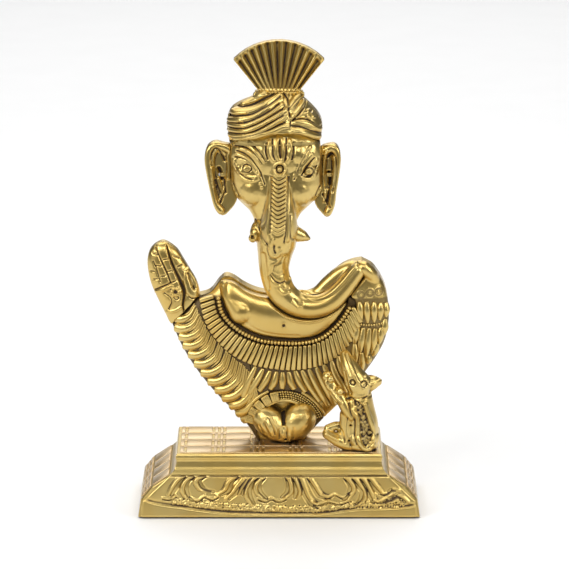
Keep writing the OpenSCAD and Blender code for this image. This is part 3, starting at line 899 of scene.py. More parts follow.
work += grooves(0.7, 0.5,
                [(-2.6, 127.5), (-2.6, 124.2), (-2.4, 121.4), (-1.8, 119.3)],
                [(0.4, 127.4), (0.3, 124), (0.5, 120.3)],
                [(2.9, 127.9), (2.9, 125), (2.9, 122), (2.4, 119.3)],
                [(-5.2, 126), (-5.4, 122.6), (-4.6, 119.6)],
                [(5.8, 126), (5.8, 122.6), (5.2, 119.4)])
brow_ring = (0.3, 115.7)
work += [stroke(circle(*brow_ring, 2.3, 17, 2.4), 0.6, 0.5, "round", False),
         stroke(circle(*brow_ring, 1.5, 13, 1.6), 0.5, -0.45, "soft", False)]
work += dots(0.95, 0.55, brow_ring, edge="round")
for i in range(14):
    z = 110.4 - 1.72 * i
    mid = -0.2 - 0.04 * i
    strip = 0.36 * min(1, (14.5 - i) / 5)
    work += ridges(0.55, strip, [(mid - 2.5, z + 1.5), (mid, z), (mid + 2.9, z + 1.3)])
    work += grooves(0.5, strip, [(mid - 2.5, z + 2.35), (mid, z + 0.85), (mid + 2.9, z + 2.1)])
work += grooves(0.9, 0.35,
                [(-3.3, 112.6), (-3.4, 104), (-3.8, 96), (-3.9, 90)],
                [(3.9, 112.2), (3.7, 104), (3.1, 97), (2.9, 91), (2.0, 86.3)],
                [(-4.6, 99.3), (-5.3, 94.4), (-7.2, 91.5)],
                [(4.7, 97), (4.4, 92), (4.9, 87.7), (5.9, 86.7)],
                [(-9.5, 93.5), (-8.1, 90.6), (-6.4, 87.1), (-4.45, 84.8)])
work += ridges(0.9, 0.45, [(-4.3, 99), (-4.6, 93), (-4.3, 87), (-4.2, 84)], [(3.4, 98), (3.8, 92), (3.4, 87)])
work += grooves(0.8, 0.8, [(-18.6, 108), (-16.5, 103.5)], [(16.6, 107), (15, 103.5)])
sculpt(wax, work, 0.5)

# %% Work the trunk
work = ridges(0.9, 0.4, [(-2.2, 87.2), (-3.4, 85.6), (-3.8, 83.1), (-2.9, 80.5), (-0.9, 80.2), (0.7, 81.8)])
work += grooves((1.0, 1.2, 0.8), 0.6, [(-1.9, 84.6), (-2.0, 83), (-1.5, 81.6)]) + dots(1.1, 0.4, (0.2, 83.6))
work += grooves(0.7, 0.28,
                [(-4.6, 86.5), (-4.8, 82.6), (-3.6, 79.4), (-1.2, 78.6)],
                [(1.8, 79.6), (0.6, 77.3), (-1.6, 76.1), (-2.3, 73.8)],
                [(-2.7, 72.9), (-0.5, 71.6), (1.8, 72.1)],
                [(0.6, 67.4), (2, 65.7), (3.7, 66.3)],
                [(6.0, 61.7), (7.9, 59.6), (9.4, 60.2)], dirt=0.5)
work += grooves((0.5, 0.95, 0.6), 0.5, [(-3.6, 72.1), (-1.9, 69.7), (0.35, 68.6), (2.5, 69.2)])
work += ridges(0.8, 0.28,
               [(0.3, 78.8), (-0.9, 77.2), (-3.2, 76), (-3.6, 73.8)],
               [(-4.2, 70.9), (-2.2, 68.5), (0.4, 67.3)],
               [(-0.2, 66.2), (1.8, 64.4), (4, 64.9)],
               [(5, 60.4), (7.2, 58.3), (9.2, 58.8)], edge="soft")
work += grooves(1.4, 0.45,
                [(-6.1, 80.5), (-5.3, 73.2), (-4.2, 66)],
                [(2.9, 80), (2.6, 74), (3.6, 69)], dirt=0.15)
work += ridges((0.6, 1.1, 1.3, 1.2, 1.0), 0.75,
               [(4.6, 70), (6.4, 66.8), (9.3, 63.8), (13.4, 62), (17, 62.2), (21.1, 64.2), (25.2, 68),
                (28.6, 72), (31.2, 75)], edge="soft")
sculpt(wax, work, 0.6)
find_hollows(wax)
throat = (0, 0, 81)
piece("head_face", half(wax, throat, (0, 0, 1), True), ["head"], sharp=75)
piece("trunk_sweep", half(wax, throat, (0, 0, 1), False), ["trunk"], sharp=75)

# %% [markdown]
# ## Tusks
# A short cut stub on the left, with the hole where the tusk broke off drilled clean, and a
# small whole cone on the right.

# %% Tusks
bm = blank("tusk_left")
lump(bm, (-9.6, -6.6, 88.2), (2.2, 3.0, 3.2))
stub = fused(bm, 0.22)
sculpt(stub, dots(1.25, -1.3, (-10.6, 87.0)), 0.0, -1)
bm = blank("tusk_right")
roll(bm, [(6.5, -7, 88.3), (9, -7, 87.3), (11.9, -7, 86.1)], [3.1, 2.4, 0.8], 12)
for node, tusk in (("tusk_left", stub), ("tusk_right", fused(bm, 0.22))):
    find_hollows(tusk, 6)
    piece(node + "_cone", tusk, [node])

# %% [markdown]
# ## Turban
# Cloth is wound over the head from both sides and meets in a fall to the right of the middle.
# Broad folds are high soft ridges with narrow grooves between them; the brim arches over the
# brow, and a small three-cornered brooch sits on the right.

# %% Turban
turban_line = [(-19.9, 125), (-20.6, 131), (-20.6, 134.6), (-18.8, 138.4), (-14.8, 141), (-9.8, 143.2),
               (-8.4, 146.6), (8.4, 146.6), (9.4, 143), (12.2, 140.2), (15.4, 136.6), (17.2, 133),
               (17.2, 129.5), (16.4, 125), (16.4, 118), (-19.9, 118)]
turban = relief(fused(blank("turban"), 0.34, 6), turban_line, 3,
                [(125, 13.5), (131, 14.5), (136, 13.5), (140, 11.5), (145.7, 7)], 13, 5)
brim = [(-19.9, 126.2), (-15.1, 127.4), (-10.1, 128.2), (-5.6, 129.2), (-1.1, 130.1), (3.4, 130.5),
        (7.8, 129.8), (11.7, 128.5), (15.9, 126.2)]
work = [pad(brim + [(17, 124), (17, 122), (-21, 122), (-21, 124)], -7.5, 0.6, False)]
work += ridges(2.4, 1.3,
               [(-16.8, 141.2), (-10.9, 143.4), (-5.6, 145.2)],
               [(-18.6, 137.9), (-12.3, 138.6), (-7.8, 140.1), (-2.8, 143), (0.6, 145.4)],
               [(4.3, 139.4), (6.6, 142.4), (9, 144.6)],
               [(6.4, 137.6), (9, 140.2), (11, 142)], edge="soft")
work += ridges(1.0, 0.75,
               [(-20.2, 134.6), (-15.1, 135.8), (-10.9, 136.9), (-6.7, 138.8), (-2.8, 141.1), (1, 143.4)],
               [(-20.4, 132.8), (-15.1, 133.3), (-11.8, 134.1), (-6.7, 136.4), (-2.8, 138.7), (1.2, 141.2)],
               [(-20.2, 130.6), (-14.3, 131.3), (-9.5, 132.9), (-5.3, 134.9), (-0.6, 137.6), (2.6, 139.4)],
               [(-19.8, 128.3), (-12.3, 129.6), (-7.8, 131.1), (-3.4, 133.5), (0.8, 136.2), (3.2, 137.4)],
               [(-18, 127.4), (-10.1, 129), (-3.9, 131), (1.7, 133.2), (4.2, 133.4)],
               [(4.6, 136.3), (6.9, 138.6), (9.1, 141.7)],
               [(6.6, 135.1), (10.9, 134.4), (14.4, 132.7), (16.4, 130.9)],
               [(4.7, 131.9), (8.7, 131), (12.9, 129.3), (16.2, 127.6)])
work += grooves(0.75, 0.95,
                [(-19.4, 139.9), (-14.3, 140.1), (-9.5, 141.4), (-5.6, 143.4), (-1.7, 144.8), (0.6, 145.9)],
                [(-20, 136.4), (-15.1, 136.9), (-10.6, 137.6), (-5.6, 140.1), (-2.2, 142.1), (0.6, 143.9)])
work += grooves(0.6, 0.6,
                [(-20.4, 133.6), (-13.4, 134.4), (-8.8, 136.1), (-4.7, 138.2), (0, 141.4)],
                [(-20.3, 131.7), (-13.7, 132.4), (-8.1, 134.5), (-3.9, 136.8), (1.6, 139.6)],
                [(-20, 129.5), (-13, 130.5), (-8.2, 132.1), (-4, 134.4), (1.8, 137.3)],
                [(-19, 127.9), (-10.1, 129.9), (-3.9, 132.1), (2.4, 135)],
                [(3.3, 139.2), (6.1, 141.9), (9.2, 144.5)],
                [(5.3, 135.6), (8.1, 137.9), (10.3, 140.5), (10, 143.6)],
                [(5.6, 135.7), (9.5, 136), (12.6, 134.8), (16.2, 132)],
                [(4.7, 133.6), (8.7, 133), (12.6, 131.4), (16.8, 129.2)],
                [(0.6, 145.9), (3.3, 143.3), (3.9, 138.8), (4.6, 135.4), (4.4, 131.9)])
work += [pad([(6.6, 136.2), (11.5, 139), (14.6, 135.6)], 0.7, 0.5, False)]
work += dots(0.6, -0.7, (10.8, 138.4), (12.9, 138.2), (10.9, 136.6))
work += ridges(0.45, 0.4, [(7, 136.4), (11.4, 138.9), (14.2, 135.7)])
sculpt(turban, work, 0.5)
find_hollows(turban)
piece("turban_wraps", turban, ["turban"])

# %% [markdown]
# ## Plume
# A fan of pleated cloth. The pleats are hollow flutes that meet in sharp ridges, so every
# point of the face is sunk by a half-round hollow according to where it lies between two
# ridges. The flutes get deeper as they widen; a thin rim closes the top.

# %% Plume
plume = fused(blank("plume"), 0.26, 1)
co = coords(plume)
ridge_at = np.array([-1, -0.79, -0.6, -0.44, -0.28, -0.12, 0.05, 0.2, 0.37, 0.54, 0.75, 1])
hub, middle, radius, half_way = 135.4, 145.7, 20.6, -1.7
spread = np.maximum(co[:, 2] - hub, 1) * 0.789
number = np.interp(co[:, 0] / spread, ridge_at, np.arange(len(ridge_at)))
part = number - np.floor(np.clip(number, 0, len(ridge_at) - 1.001))
broad = np.interp(number, np.arange(11) + 0.5, np.diff(ridge_at)) * spread
hollow = np.clip(1.35 - 1.35 * np.abs(2 * part - 1) ** 1.6 - 0.35, 0, 1) * np.minimum(0.5 * broad, 1.7)
rim = np.clip((radius - np.hypot(co[:, 0], co[:, 2] - middle) * 0.985) / 1.2, 0, 1)
foot = np.clip((co[:, 2] - 145.4) / 1.5, 0, 1)
hollow = hollow * np.minimum(np.maximum(rim, 0.25), foot)
front, back = co[:, 1] < half_way, co[:, 1] >= half_way
co[front, 1] += hollow[front]
co[back, 1] -= hollow[back] * 0.8
co[:, 1] -= 0.25 * (co[:, 2] - 145) / 10 * front
set_coords(plume, co)
middle_dark = np.clip(1.15 - 0.8 * np.abs(co[:, 0] / spread), 0, 1) * np.clip(1.35 - (co[:, 2] - 146) / 24, 0,
    1)
mark(plume, "dirt", np.clip(hollow / 0.95, 0, 1) ** 2.6 * middle_dark * 0.80 * front)
find_hollows(plume, 12, 0.5)
piece("plume_fan", plume, ["plume"])
bm = bmesh.new()
for x in np.linspace(-6.6, 6.6, 11):
    bead(bm, (x, -5.6, 145.5), (1, 0, 0), (0.62, 0.7, 0.55), 1)
piece("plume_binding", to_mesh(bm))

# %% [markdown]
# ## Ears
# Each ear is a thin shell with a rolled rim, a bowl with two curved ribs in it, a deep hole
# where it meets the cheek, and a plain hanging lobe.

# %% Ears
ear_work = {
    "ear_left": ([(-19.5, 121.6), (-22.5, 123), (-25.9, 123.1), (-28.2, 120.5), (-28.5, 115), (-27.6, 109),
                  (-26.4, 103), (-25.0, 98.5), (-23.6, 96.6)],
                 [[(-22, 119.6), (-24, 121), (-25.6, 120.6), (-26.6, 117.4), (-26.6, 112), (-25.9, 107)],
                  [(-20.3, 119.6), (-20.2, 115), (-20.6, 110)]],
                 [[(-27.0, 115.1), (-27.1, 119.4), (-26, 122), (-24.6, 122.1), (-23.4, 120.3), (-21.9, 117)],
                  [(-26, 109), (-25.4, 103.8), (-24, 99.6), (-22.3, 103.6)], [(-21.9, 109), (-21.5, 104)]],
                 [(-24.2, 113.7), (-23.5, 111.9), (-22.9, 109.6)], [(-24.4, 109.3), (-23.6, 106.6),
            (-22.7, 103.4)]),
    "ear_right": ([(18, 121), (20.9, 122.3), (23, 121), (23.6, 117.2), (22.8, 110.8), (22, 104.7), (21.2, 99),
                   (19.9, 96)],
                  [[(18.9, 121), (18.4, 117), (18, 112)], [(21.9, 118.4), (22.3, 113), (21.6, 107)]],
                  [[(19.6, 118.4), (21.4, 120), (22.8, 117.5), (22.6, 110.9), (21.5, 104.7)],
                   [(17.6, 103.3), (19, 100.4), (20.6, 98)]],
                  [(20.1, 112), (20.6, 109.6), (20.6, 107.4)], [(19.2, 105), (18.5, 102.4), (18, 100)])}
bowls = {"ear_left": [(-21, 120), (-24.5, 121.4), (-26.4, 118.5), (-26.6, 112), (-25.6, 106), (-24.4, 101),
                      (-23, 103), (-21.5, 108), (-20.6, 114)],
         "ear_right": [(18.4, 118.5), (20.6, 120.4), (22, 117), (21.6, 110), (20.6, 103), (19.6, 99.6),
                       (18.4, 104), (17.9, 112)]}
for node, (rim, inner, cuts, hole, wedge) in ear_work.items():
    ear = fused(blank(node), 0.26, 3)
    bowl = [pad(bowls[node], -0.9, 2.0, dirt=0.3)]
    sculpt(ear, bowl + ridges(1.7, 1.5, rim) + ridges(0.85, 0.8, *inner) + grooves(0.75, 0.7, *cuts)
           + grooves(1.2, 1.5, hole) + ridges((0.9, 0.8, 0.3), 0.9, wedge), 0.05)
    find_hollows(ear)
    piece(node + "_rim", ear, [node])

# %% [markdown]
# ## Open palm
# The raised hand is a soft plate. Grooves part the fingers, short creases cross their joints,
# the thumb is a raised oval with a sunk middle, and a small flower of dots marks the palm.

# %% Palm
palm_line = curve([(-46, 83.6), (-49, 83), (-51.8, 80.6), (-53.1, 77), (-53.1, 72.6), (-51.9, 66.6),
                   (-49.6, 61), (-46.2, 54), (-43.4, 49.2), (-37.6, 50.2), (-33.6, 53), (-32, 57.7),
                   (-32.1, 62.5), (-33.5, 67.3), (-36, 71.8), (-38.5, 76), (-41.3, 80.4), (-46, 83.6)])
palm = relief(fused(blank("open_palm"), 0.3, 5), palm_line, 1.2, [(49, 4.2), (60, 4.8), (84, 4.2)], 5.5, 3)
work = [pad([(-38.8, 72.4), (-36.2, 73.2), (-33.6, 69), (-32.4, 64.4), (-33.2, 60.8), (-35.6, 61),
             (-37.4, 62.6), (-38.2, 65.6), (-38.8, 69)], 1.3, 1.6)]
work += grooves((0.5, 0.7, 0.6), 0.8,
                [(-49.8, 81.6), (-47.8, 76.8), (-46.2, 73.3), (-44.9, 70.2), (-43.9, 67.4)])
work += grooves((0.5, 0.9, 1.2, 0.9, 0.5), 1.3,
                [(-45.2, 82.1), (-44.4, 78.9), (-43.4, 75.7), (-41.8, 71.8), (-40.3, 68.6), (-38.6, 64.3),
                 (-38.4, 61.7), (-38.9, 57.7), (-38.2, 54.5)])
work += grooves(0.5, 0.55,
                [(-50.8, 76), (-49.4, 72.6), (-48, 67.5)],
                [(-46.8, 76.5), (-44.6, 77.1)],
                [(-49.8, 74.1), (-47.6, 74.2)],
                [(-45, 71.7), (-42.9, 72.3)],
                [(-52, 71.8), (-50.4, 71.8)],
                [(-50.9, 68.4), (-49.1, 68.7)],
                [(-47.6, 69.8), (-46, 70)],
                [(-42.6, 78.2), (-40.3, 77.3)],
                [(-41.1, 73.8), (-39.3, 74.4)],
                [(-49.2, 78.7), (-50.9, 79.2)],
                [(-50.2, 64.1), (-46.5, 65.9), (-43.9, 67), (-41.6, 68)],
                [(-46.4, 62.9), (-44.2, 61.3), (-43.4, 59.3), (-44.7, 56.2)],
                [(-37, 62.7), (-35.6, 60.9), (-32.9, 60.4)],
                [(-42, 51.4), (-38.7, 53.2), (-35.6, 54), (-33, 55.1)])
work += ridges(0.8, 0.45,
               [(-49.7, 63.1), (-46.2, 64.7), (-43.4, 65.8)],
               [(-45.6, 54.6), (-41.7, 55.6), (-39.6, 57)])
work += grooves((0.6, 1.1, 1.2, 0.7), 1.2, [(-36.9, 71), (-35.7, 68.6), (-34.9, 66.4), (-34.3, 64.6)])
work += ridges(0.6, 0.5, [(-36.7, 70.4), (-35.7, 68.4), (-35, 66.2)])
flower, petal_reach = (-41.9, 63.4), 1.5
for a in np.linspace(0, 2 * math.pi, 6, endpoint=False):
    spot = (flower[0] + petal_reach * math.cos(a), flower[1] + petal_reach * math.sin(a))
    work += dots(0.75, 0.75, spot, edge="round")
work += dots(1.0, -0.6, flower) + dots(0.6, 0.5, flower, edge="round")
work += grooves(0.45, 0.5, [(-42.6, 61), (-41.4, 60), (-40.6, 61), (-41.3, 61.8)])
sculpt(palm, work, 0.3)
find_hollows(palm)
piece("palm_front", palm, ["open_palm"])

# %% [markdown]
# ## Mouse
# It sits on its haunches with its back to the viewer's right, and reaches up towards the arm.
# Eggs and rolls of wax make the body, head, paws and tail end; the saddle cloth is a sunk,
# stippled oval between two raised rims.

# %% Mouse
bm = bmesh.new()
lump(bm, (33.8, -14.6, 5.4), (7.2, 7.2, 5.4))
lump(bm, (33.6, -14.3, 2.6), (7.0, 6.6, 2.9))
lump(bm, (27.8, -14.4, 7.2), (4.6, 4.4, 5.6))
lump(bm, (35.6, -14.6, 9.5), (4.0, 4.8, 8.5))
lump(bm, (31.8, -15.4, 28.2), (5.3, 5.2, 6.2), (0, -28, 0))
lump(bm, (29.2, -16.4, 30.4), (2.4, 3.2, 3.0))
lump(bm, (34.2, -16.4, 29.6), (2.6, 3.4, 2.8))
roll(bm, [(33.8, -14.6, 5.4), (33.8, -14.6, 11), (33.2, -14.8, 17), (32.6, -15, 23), (32, -15.2, 27)],
     [6.6, 6.4, 5.6, 5.0, 4.6], 24)
roll(bm, [(30.4, -15.6, 31), (28.4, -14.6, 35), (26.6, -12.6, 39.2)], [4.4, 3.4, 2.1], 14)
roll(bm, [(34.6, -14.6, 27.4), (37.6, -14.4, 28.2), (39.8, -14, 28.4)], [3.9, 3.2, 1.8], 12)
roll(bm, [(28.6, -16, 19.2), (25, -15.6, 22), (21.6, -14.8, 26.4), (19.6, -14, 30.6)],
     [3.4, 2.9, 2.5, 2.3], 16)
roll(bm, [(29.5, -17.4, 15.6), (27, -17.8, 18.6), (25, -17.6, 22.4), (24, -17, 25.2)],
     [3.0, 2.5, 2.2, 2.0], 14)
roll(bm, [(29.6, -15.6, 2.8), (24.5, -16.4, 4.2), (19.6, -16.2, 7.2)], [3.4, 2.7, 2.2], 16)
roll(bm, [(26, -15, 9.6), (23, -15, 10.2), (19.8, -15.4, 9.2)], [2.0, 1.8, 1.7], 12)
roll(bm, [(27.6, -16, 15), (27.4, -16.4, 9), (28.4, -16.2, 3)], [3.2, 3.0, 2.8], 14)
for spot in ((20.8, -17, 30.3), (24.6, -19, 25.6)):
    lump(bm, spot, 1.5)
mouse = fused(bm, 0.3, 4)
work = [pad([(29.8, 22.4), (32.4, 21.6), (34.4, 19), (35.8, 14.4), (37.2, 9.6), (37.2, 5.6), (35, 2.8),
             (33.4, 5), (32.6, 9.4), (32, 15)], -1.0, 1.0, dirt=0.62)]
work += ridges(0.95, 0.9,
               [(29.2, 21.6), (29.9, 17.9), (31.7, 14.6), (31.6, 8.4), (32.7, 4), (35.9, 1.3), (38.2, 3.6)],
               [(34.8, 20.4), (36.6, 15), (38.2, 9.8), (38.2, 5.4)])
work += grooves(0.8, 0.45,
                [(28.3, 20.4), (28.9, 16.6), (30.5, 13.4), (30.3, 8.2), (31.2, 3.9)],
                [(27.4, 22.4), (32, 22.8), (37.4, 23.4)],
                [(26.4, 33.6), (27.4, 29), (29, 24.6)],
                [(37.2, 27.2), (36.4, 24.4), (34, 22.8)],
                [(24, 10.6), (25.6, 8.4), (26.6, 4)],
                [(27.6, 14.4), (27.2, 9), (28.8, 3)],
                [(23.6, 21), (21.2, 24), (19.8, 27.2)], dirt=0.35)
work += ridges(0.85, 0.8, [(27.3, 40), (29.2, 35.4), (31.3, 30.8), (33.9, 27.6)])
work += ridges(0.7, 0.6,
               [(36.6, 28.4), (39, 28.7), (41, 29.2)],
               [(23.4, 5.4), (21, 6.6), (19, 7.6)],
               [(18.8, 29), (20.6, 25.6), (25, 21)])
for x, z, r in ((29.6, 29.6, 1.1), (34.2, 28.9, 1.3), (36.6, 8.6, 1.1)):
    work += [stroke(circle(x, z, r, 11), 0.5, -0.6, "soft", False)]
    work += dots(0.75, 0.55, (x, z), edge="round")
rng = np.random.default_rng(4)
saddle = np.array([(30.5, 20.5), (32.5, 17), (33.6, 12), (34, 7), (35.6, 3.4)])
for spot in along(curve(saddle), 26)[0]:
    for shift in rng.uniform(-1.7, 1.5, 3):
        height = rng.uniform(0.15, 0.4)
        work += dots(0.55, height, (spot[0] + shift + 0.9, spot[1] + rng.uniform(-0.5, 0.5)), edge="round")
work += dots(0.7, -0.6, (28.9, 11.4), (28.2, 4.9))
sculpt(mouse, work, 0.4)
find_hollows(mouse)
piece("mouse_body", mouse, ["mouse"])

# %% [markdown]
# ## Feet and anklets
# Two smooth domes meet at a notch over a small tab of toes. The left anklet is built of ribbed
# blocks between two cords, the right one is a stippled band between two cords.

# %% Feet
bm = bmesh.new()
lump(bm, (-3.2, -3.6, 8.6), (9.4, 7.4, 6.6), (0, 42, 0))
lump(bm, (7.4, -3.8, 9.4), (9.2, 7.6, 7.2), (0, -50, 0))
lump(bm, (2.0, -4.0, 4.6), (5.4, 5.8, 4.3))
lump(bm, (2.2, -0.5, 6.5), (11.0, 4.6, 5.6))
lump(bm, (1.5, -6.4, 5.2), (1.5, 3.9, 3.9))
lump(bm, (4.2, -6.4, 5.2), (1.6, 4.0, 4.2))
feet_wax = fused(bm, 0.3, 5)
sculpt(feet_wax, grooves((0.7, 1.2, 0.8), 1.2, [(1.4, 16.5), (1.7, 12.6), (1.9, 9.2)], dirt=0.35)
       + grooves(0.6, 0.3, [(-4.2, 11.8), (-2.6, 8.2), (-1.6, 5)], [(-6.4, 10), (-5, 6.8), (-3.8, 4.2)],
                 [(-8, 8.6), (-6.8, 5.8)], [(3, 8), (3, 2.6)], [(0.2, 7.6), (0, 3)], [(5.8, 8), (5.9, 3)],
                 dirt=0.3)
       + ridges(0.6, 0.4, [(-3.4, 12.2), (-1.6, 8.6), (-0.8, 5.2)], [(-5.4, 11), (-4, 7.4), (-2.8, 4.4)])
       + dots(1.0, -1.0, (2.6, 2.3)), 0.5)
find_hollows(feet_wax)
notch = 2.2
for node, beyond in (("foot_left", False), ("foot_right", True)):
    piece(node + "_dome", half(feet_wax, (notch, 0, 0), (1, 0, 0), beyond), [node], sharp=75)

# %% Anklets
for node in ("anklet_left", "anklet_right"):
    band = swelled(fused(blank(node), 0.4), -5)
    mark(band, "dirt", np.full(len(band.vertices), 0.9))
    find_hollows(band)
    piece(node + "_band", band, [node])


def ring(radius, start, end, count):
    """Points on a circle round the feet's notch, with the direction along it."""
    at = np.radians(np.linspace(start, end, count))
    spots = np.column_stack([notch + radius * np.cos(at), 6 + radius * np.sin(at)])
    return spots, np.column_stack([-np.sin(at), np.cos(at)])


bm = bmesh.new()
spots, ways = ring(14.6, 106, 163, 5)
for spot, way, y in zip(spots, ways, skin_y(spots)):
    tile(bm, (spot[0], y - 0.7, spot[1]), (way[0], 0, way[1]), (1.6, 1.3, 2.0), 0.4)
    for shift in (-0.7, 0.0, 0.7):
        rib = (spot[0] + way[0] * shift, y - 1.95, spot[1] + way[1] * shift)
        tile(bm, rib, (-way[1], 0, way[0]), (1.7, 0.28, 0.22), 0.1)
piece("anklet_blocks", to_mesh(bm))
bm = bmesh.new()
rng = np.random.default_rng(2)
for radius in (13.2, 14.1, 15.0, 15.9):
    for spot, way in on_skin(*ring(radius, 20, 100, int(radius * 1.45)), 0.1):
        bead(bm, spot, way, (0.6, 0.75 + rng.uniform(0, 0.4), 0.5), 1)
piece("anklet_stipple", to_mesh(bm))
cords = []
for radius, start, end in ((12.3, 20, 160), (17.1, 20, 66), (17.3, 112, 150)):
    spots, _ = ring(radius, start, end, 14)
    cords.append(lay([tuple(s) for s in spots], -0.25, (0.6, 0.75, 0.75, 0.6)))
piece("anklet_cords", bars(cords, 2, 2))

# %% [markdown]
# ## Plinth
# Both tiers keep their own solids, with eased edges. The worked surfaces are laid on them:
# boards with rows of square pits on the top and the end slopes, and on the front a panel of
# curled leaf ribs over a plain band.

# %% Tiers
for node in ("plinth_lower", "plinth_upper"):
    dress(node, cast_brass, edge=0.0009, angle=35)
print("plinth edges eased")

# %% Boards on the top and the end slopes
bm = bmesh.new()
pits = [-38.0, -26.9, -24.6, -22.4, -11.2, -8.8, -6.4, 4.6, 6.9, 9.2, 20.4, 22.7, 25, 36, 38.2]
ends = [-40.6] + pits + [40.6]
for row in range(4):
    y = -14.9 + 9.95 * row
    for a, b in zip(ends, ends[1:]):
        block(bm, Matrix.Translation(((a + b) / 2, y, 0.0)), ((b - a) / 2 - 0.5, 4.65, 0.38), 0.25)
    for x in pits:
        for side in (-1, 1):
            block(bm, Matrix.Translation((x, y + side * 3.9, 0)), (0.7, 0.75, 0.3), 0.15)
for side in (-1, 1):
    for row in range(4):
        y = -16.6 + 11.1 * row
        for x, z, slope, long in ((47.8, 15.2, 33.2, 3.9), (52.4, 11.9, 50.5, 0.7), (53.6, 10.35, 50.5, 0.6),
                                  (55.0, 8.7, 50.5, 0.75)):
            tilt = Matrix.Rotation(math.radians(side * slope), 4, "Y")
            block(bm, Matrix.Translation((side * x, y, z - seat)) @ tilt, (long, 5.2, 0.35), 0.22)
        tilt = Matrix.Rotation(math.radians(side * 50.5), 4, "Y")
        for x, z in ((53.0, 11.1), (54.3, 9.5)):
            for end in (-1, 1):
                place = Matrix.Translation((side * x, y + end * 4.2, z - seat)) @ tilt
                block(bm, place, (0.5, 1.0, 0.26), 0.12)
# The boards take the paler brass, whose light colour is a painted reflection of the bright room above.
piece("plinth_boards", to_mesh(bm), metal=brass_with_painted_pale_reflection)

# %% Carved front
bm = bmesh.new()
for z, tall, wide, taper, y, lean in ((4.2, 3.4, 56.0, 0.988, -24.3, 0.45),
                                      (12.5, 5.0, 54.8, 0.81, -23.3, 0.55)):
    made = bmesh.ops.create_cube(bm, size=2)["verts"]
    bmesh.ops.scale(bm, vec=(wide, 1.0, tall), verts=made)
    for v in made:
        if v.co.z > 0:
            v.co.x *= taper
        v.co.y += lean if v.co.z > 0 else -lean
    bmesh.ops.translate(bm, vec=(0, y, z - seat), verts=made)
end_edges = [e for e in bm.edges if abs(e.verts[0].co.x) > 40 and e.verts[0].co.x * e.verts[1].co.x > 0]
bmesh.ops.bevel(bm, geom=end_edges, offset=0.8, offset_type="OFFSET", segments=2, profile=0.5, affect="EDGES",
                material=-1, clamp_overlap=True)
carving = fused(bm, 0.32, 4)
low = seat + 1.0


def dropped(path):
    """A path drawn in heights above the table, lowered 1 mm and measured from the plinth's top."""
    return [(x, z - low) for x, z in path]


ribs = [dropped(path) for path in ([(-38.4, 18.4), (-40.9, 16.7), (-43.2, 13.5), (-44.8, 10.7)],
                                   [(-34.9, 18.4), (-37.8, 16.3), (-39, 13.5), (-38.4, 11.1), (-36.7, 8.7)],
                                   [(-30.1, 18.4), (-32.8, 17.1), (-33.6, 15.9), (-31.6, 13.1),
                                    (-27.8, 12.1)],
                                   [(-17.3, 18.2), (-20.4, 15.9), (-21.9, 12.7), (-25, 10.7)],
                                   [(-14.6, 17.5), (-17.0, 14.3), (-18.6, 11.9), (-21.5, 9.1)],
                                   [(-12.6, 17.6), (-14.6, 15.1), (-16.3, 11.1)],
                                   [(-9.6, 17.7), (-12.2, 15.5), (-13.4, 12.7), (-13, 9.9), (-11.3, 6.9)],
                                   [(-6.8, 17.6), (-9.2, 15.1), (-9, 11.9), (-6.1, 9.1)],
                                   [(3.8, 17.9), (4.9, 15.1), (4.7, 11.9), (2.4, 9.9)],
                                   [(6.5, 17.8), (7.8, 14.7), (8.5, 12.3), (7.6, 9.5)],
                                   [(9, 17.8), (10.6, 13.5), (12.1, 9.9), (14.6, 6.9), (17, 5.5)],
                                   [(12.7, 17.6), (15, 13.9), (16.9, 10.9), (19.5, 9.7)],
                                   [(27.4, 17.6), (29.5, 15.1), (30.1, 12.7), (28, 9.1)],
                                   [(30.9, 17.3), (33.2, 14.3), (34.9, 11.9), (34.2, 8.7), (32, 6.7)],
                                   [(34.2, 17.3), (36.3, 13.9), (37.5, 11.1), (39.4, 7.7)],
                                   [(37.3, 17.2), (39.4, 14.3), (41.9, 11.5)],
                                   [(41.7, 11.1), (44.8, 11), (46.6, 12.6), (48.4, 12.6)],
                                   [(42.9, 7.5), (46.8, 8.7), (49.4, 10), (52.3, 7.9)])]
work = []
for path in ribs:
    work += ridges((0.7, 1.05, 1.1, 0.65), (0.6, 0.9, 0.95, 0.5), path)
    turn = 1 if path[0][0] < 0 else -1
    work += grooves((0.6, 1.1, 1.3, 0.9), (0.3, 0.7, 0.9, 0.6),
                    [(x + 1.45 * turn, z - 0.2) for x, z in path], dirt=1.0)
scallops = [[(-47, 9.6), (-44.4, 9.2), (-41.6, 10.4)],
            [(-36, 9.8), (-33, 8.6), (-30, 10.6)],
            [(-29.6, 10.2), (-27, 9.2), (-24.6, 10.2)],
            [(-8.4, 9.4), (-5.6, 8.4), (-3, 9.6)],
            [(-3, 9.6), (0, 8.4), (2.8, 9.4)],
            [(16.9, 10.7), (20, 10.1), (22, 11)],
            [(23.1, 11), (26.2, 9.8), (28.6, 11.6)],
            [(12.5, 8.2), (16, 7.2), (20, 8.4)],
            [(20, 8.4), (24, 7.4), (28, 8.4)],
            [(38, 8.6), (41, 8.2), (43.4, 9.6)]]
work += ridges(0.55, 0.55, *[dropped(path) for path in scallops])
work += grooves(0.5, 0.5, *[[(x, z - 0.9) for x, z in dropped(path)] for path in scallops], dirt=0.8)
rng = np.random.default_rng(7)
border = dropped([(-43, 8.2), (-34, 7.0), (-22, 6.0), (-8, 5.2), (4, 4.9), (16, 5.1), (28, 6.4), (40, 6.6),
                  (50, 7.2)])
for shift, count in ((0.9, 84), (0, 90), (-0.9, 84)):
    for x, z in along(curve(border), count)[0]:
        height = rng.uniform(0.2, 0.6)
        spot = (x + rng.uniform(-0.3, 0.3), z + shift + rng.uniform(-0.3, 0.3))
        work += dots(0.5, height, spot, edge="round")
        if rng.random() < 0.5:
            work += dots(0.45, -0.5, (x + rng.uniform(-0.6, 0.6), z + shift + 0.5))
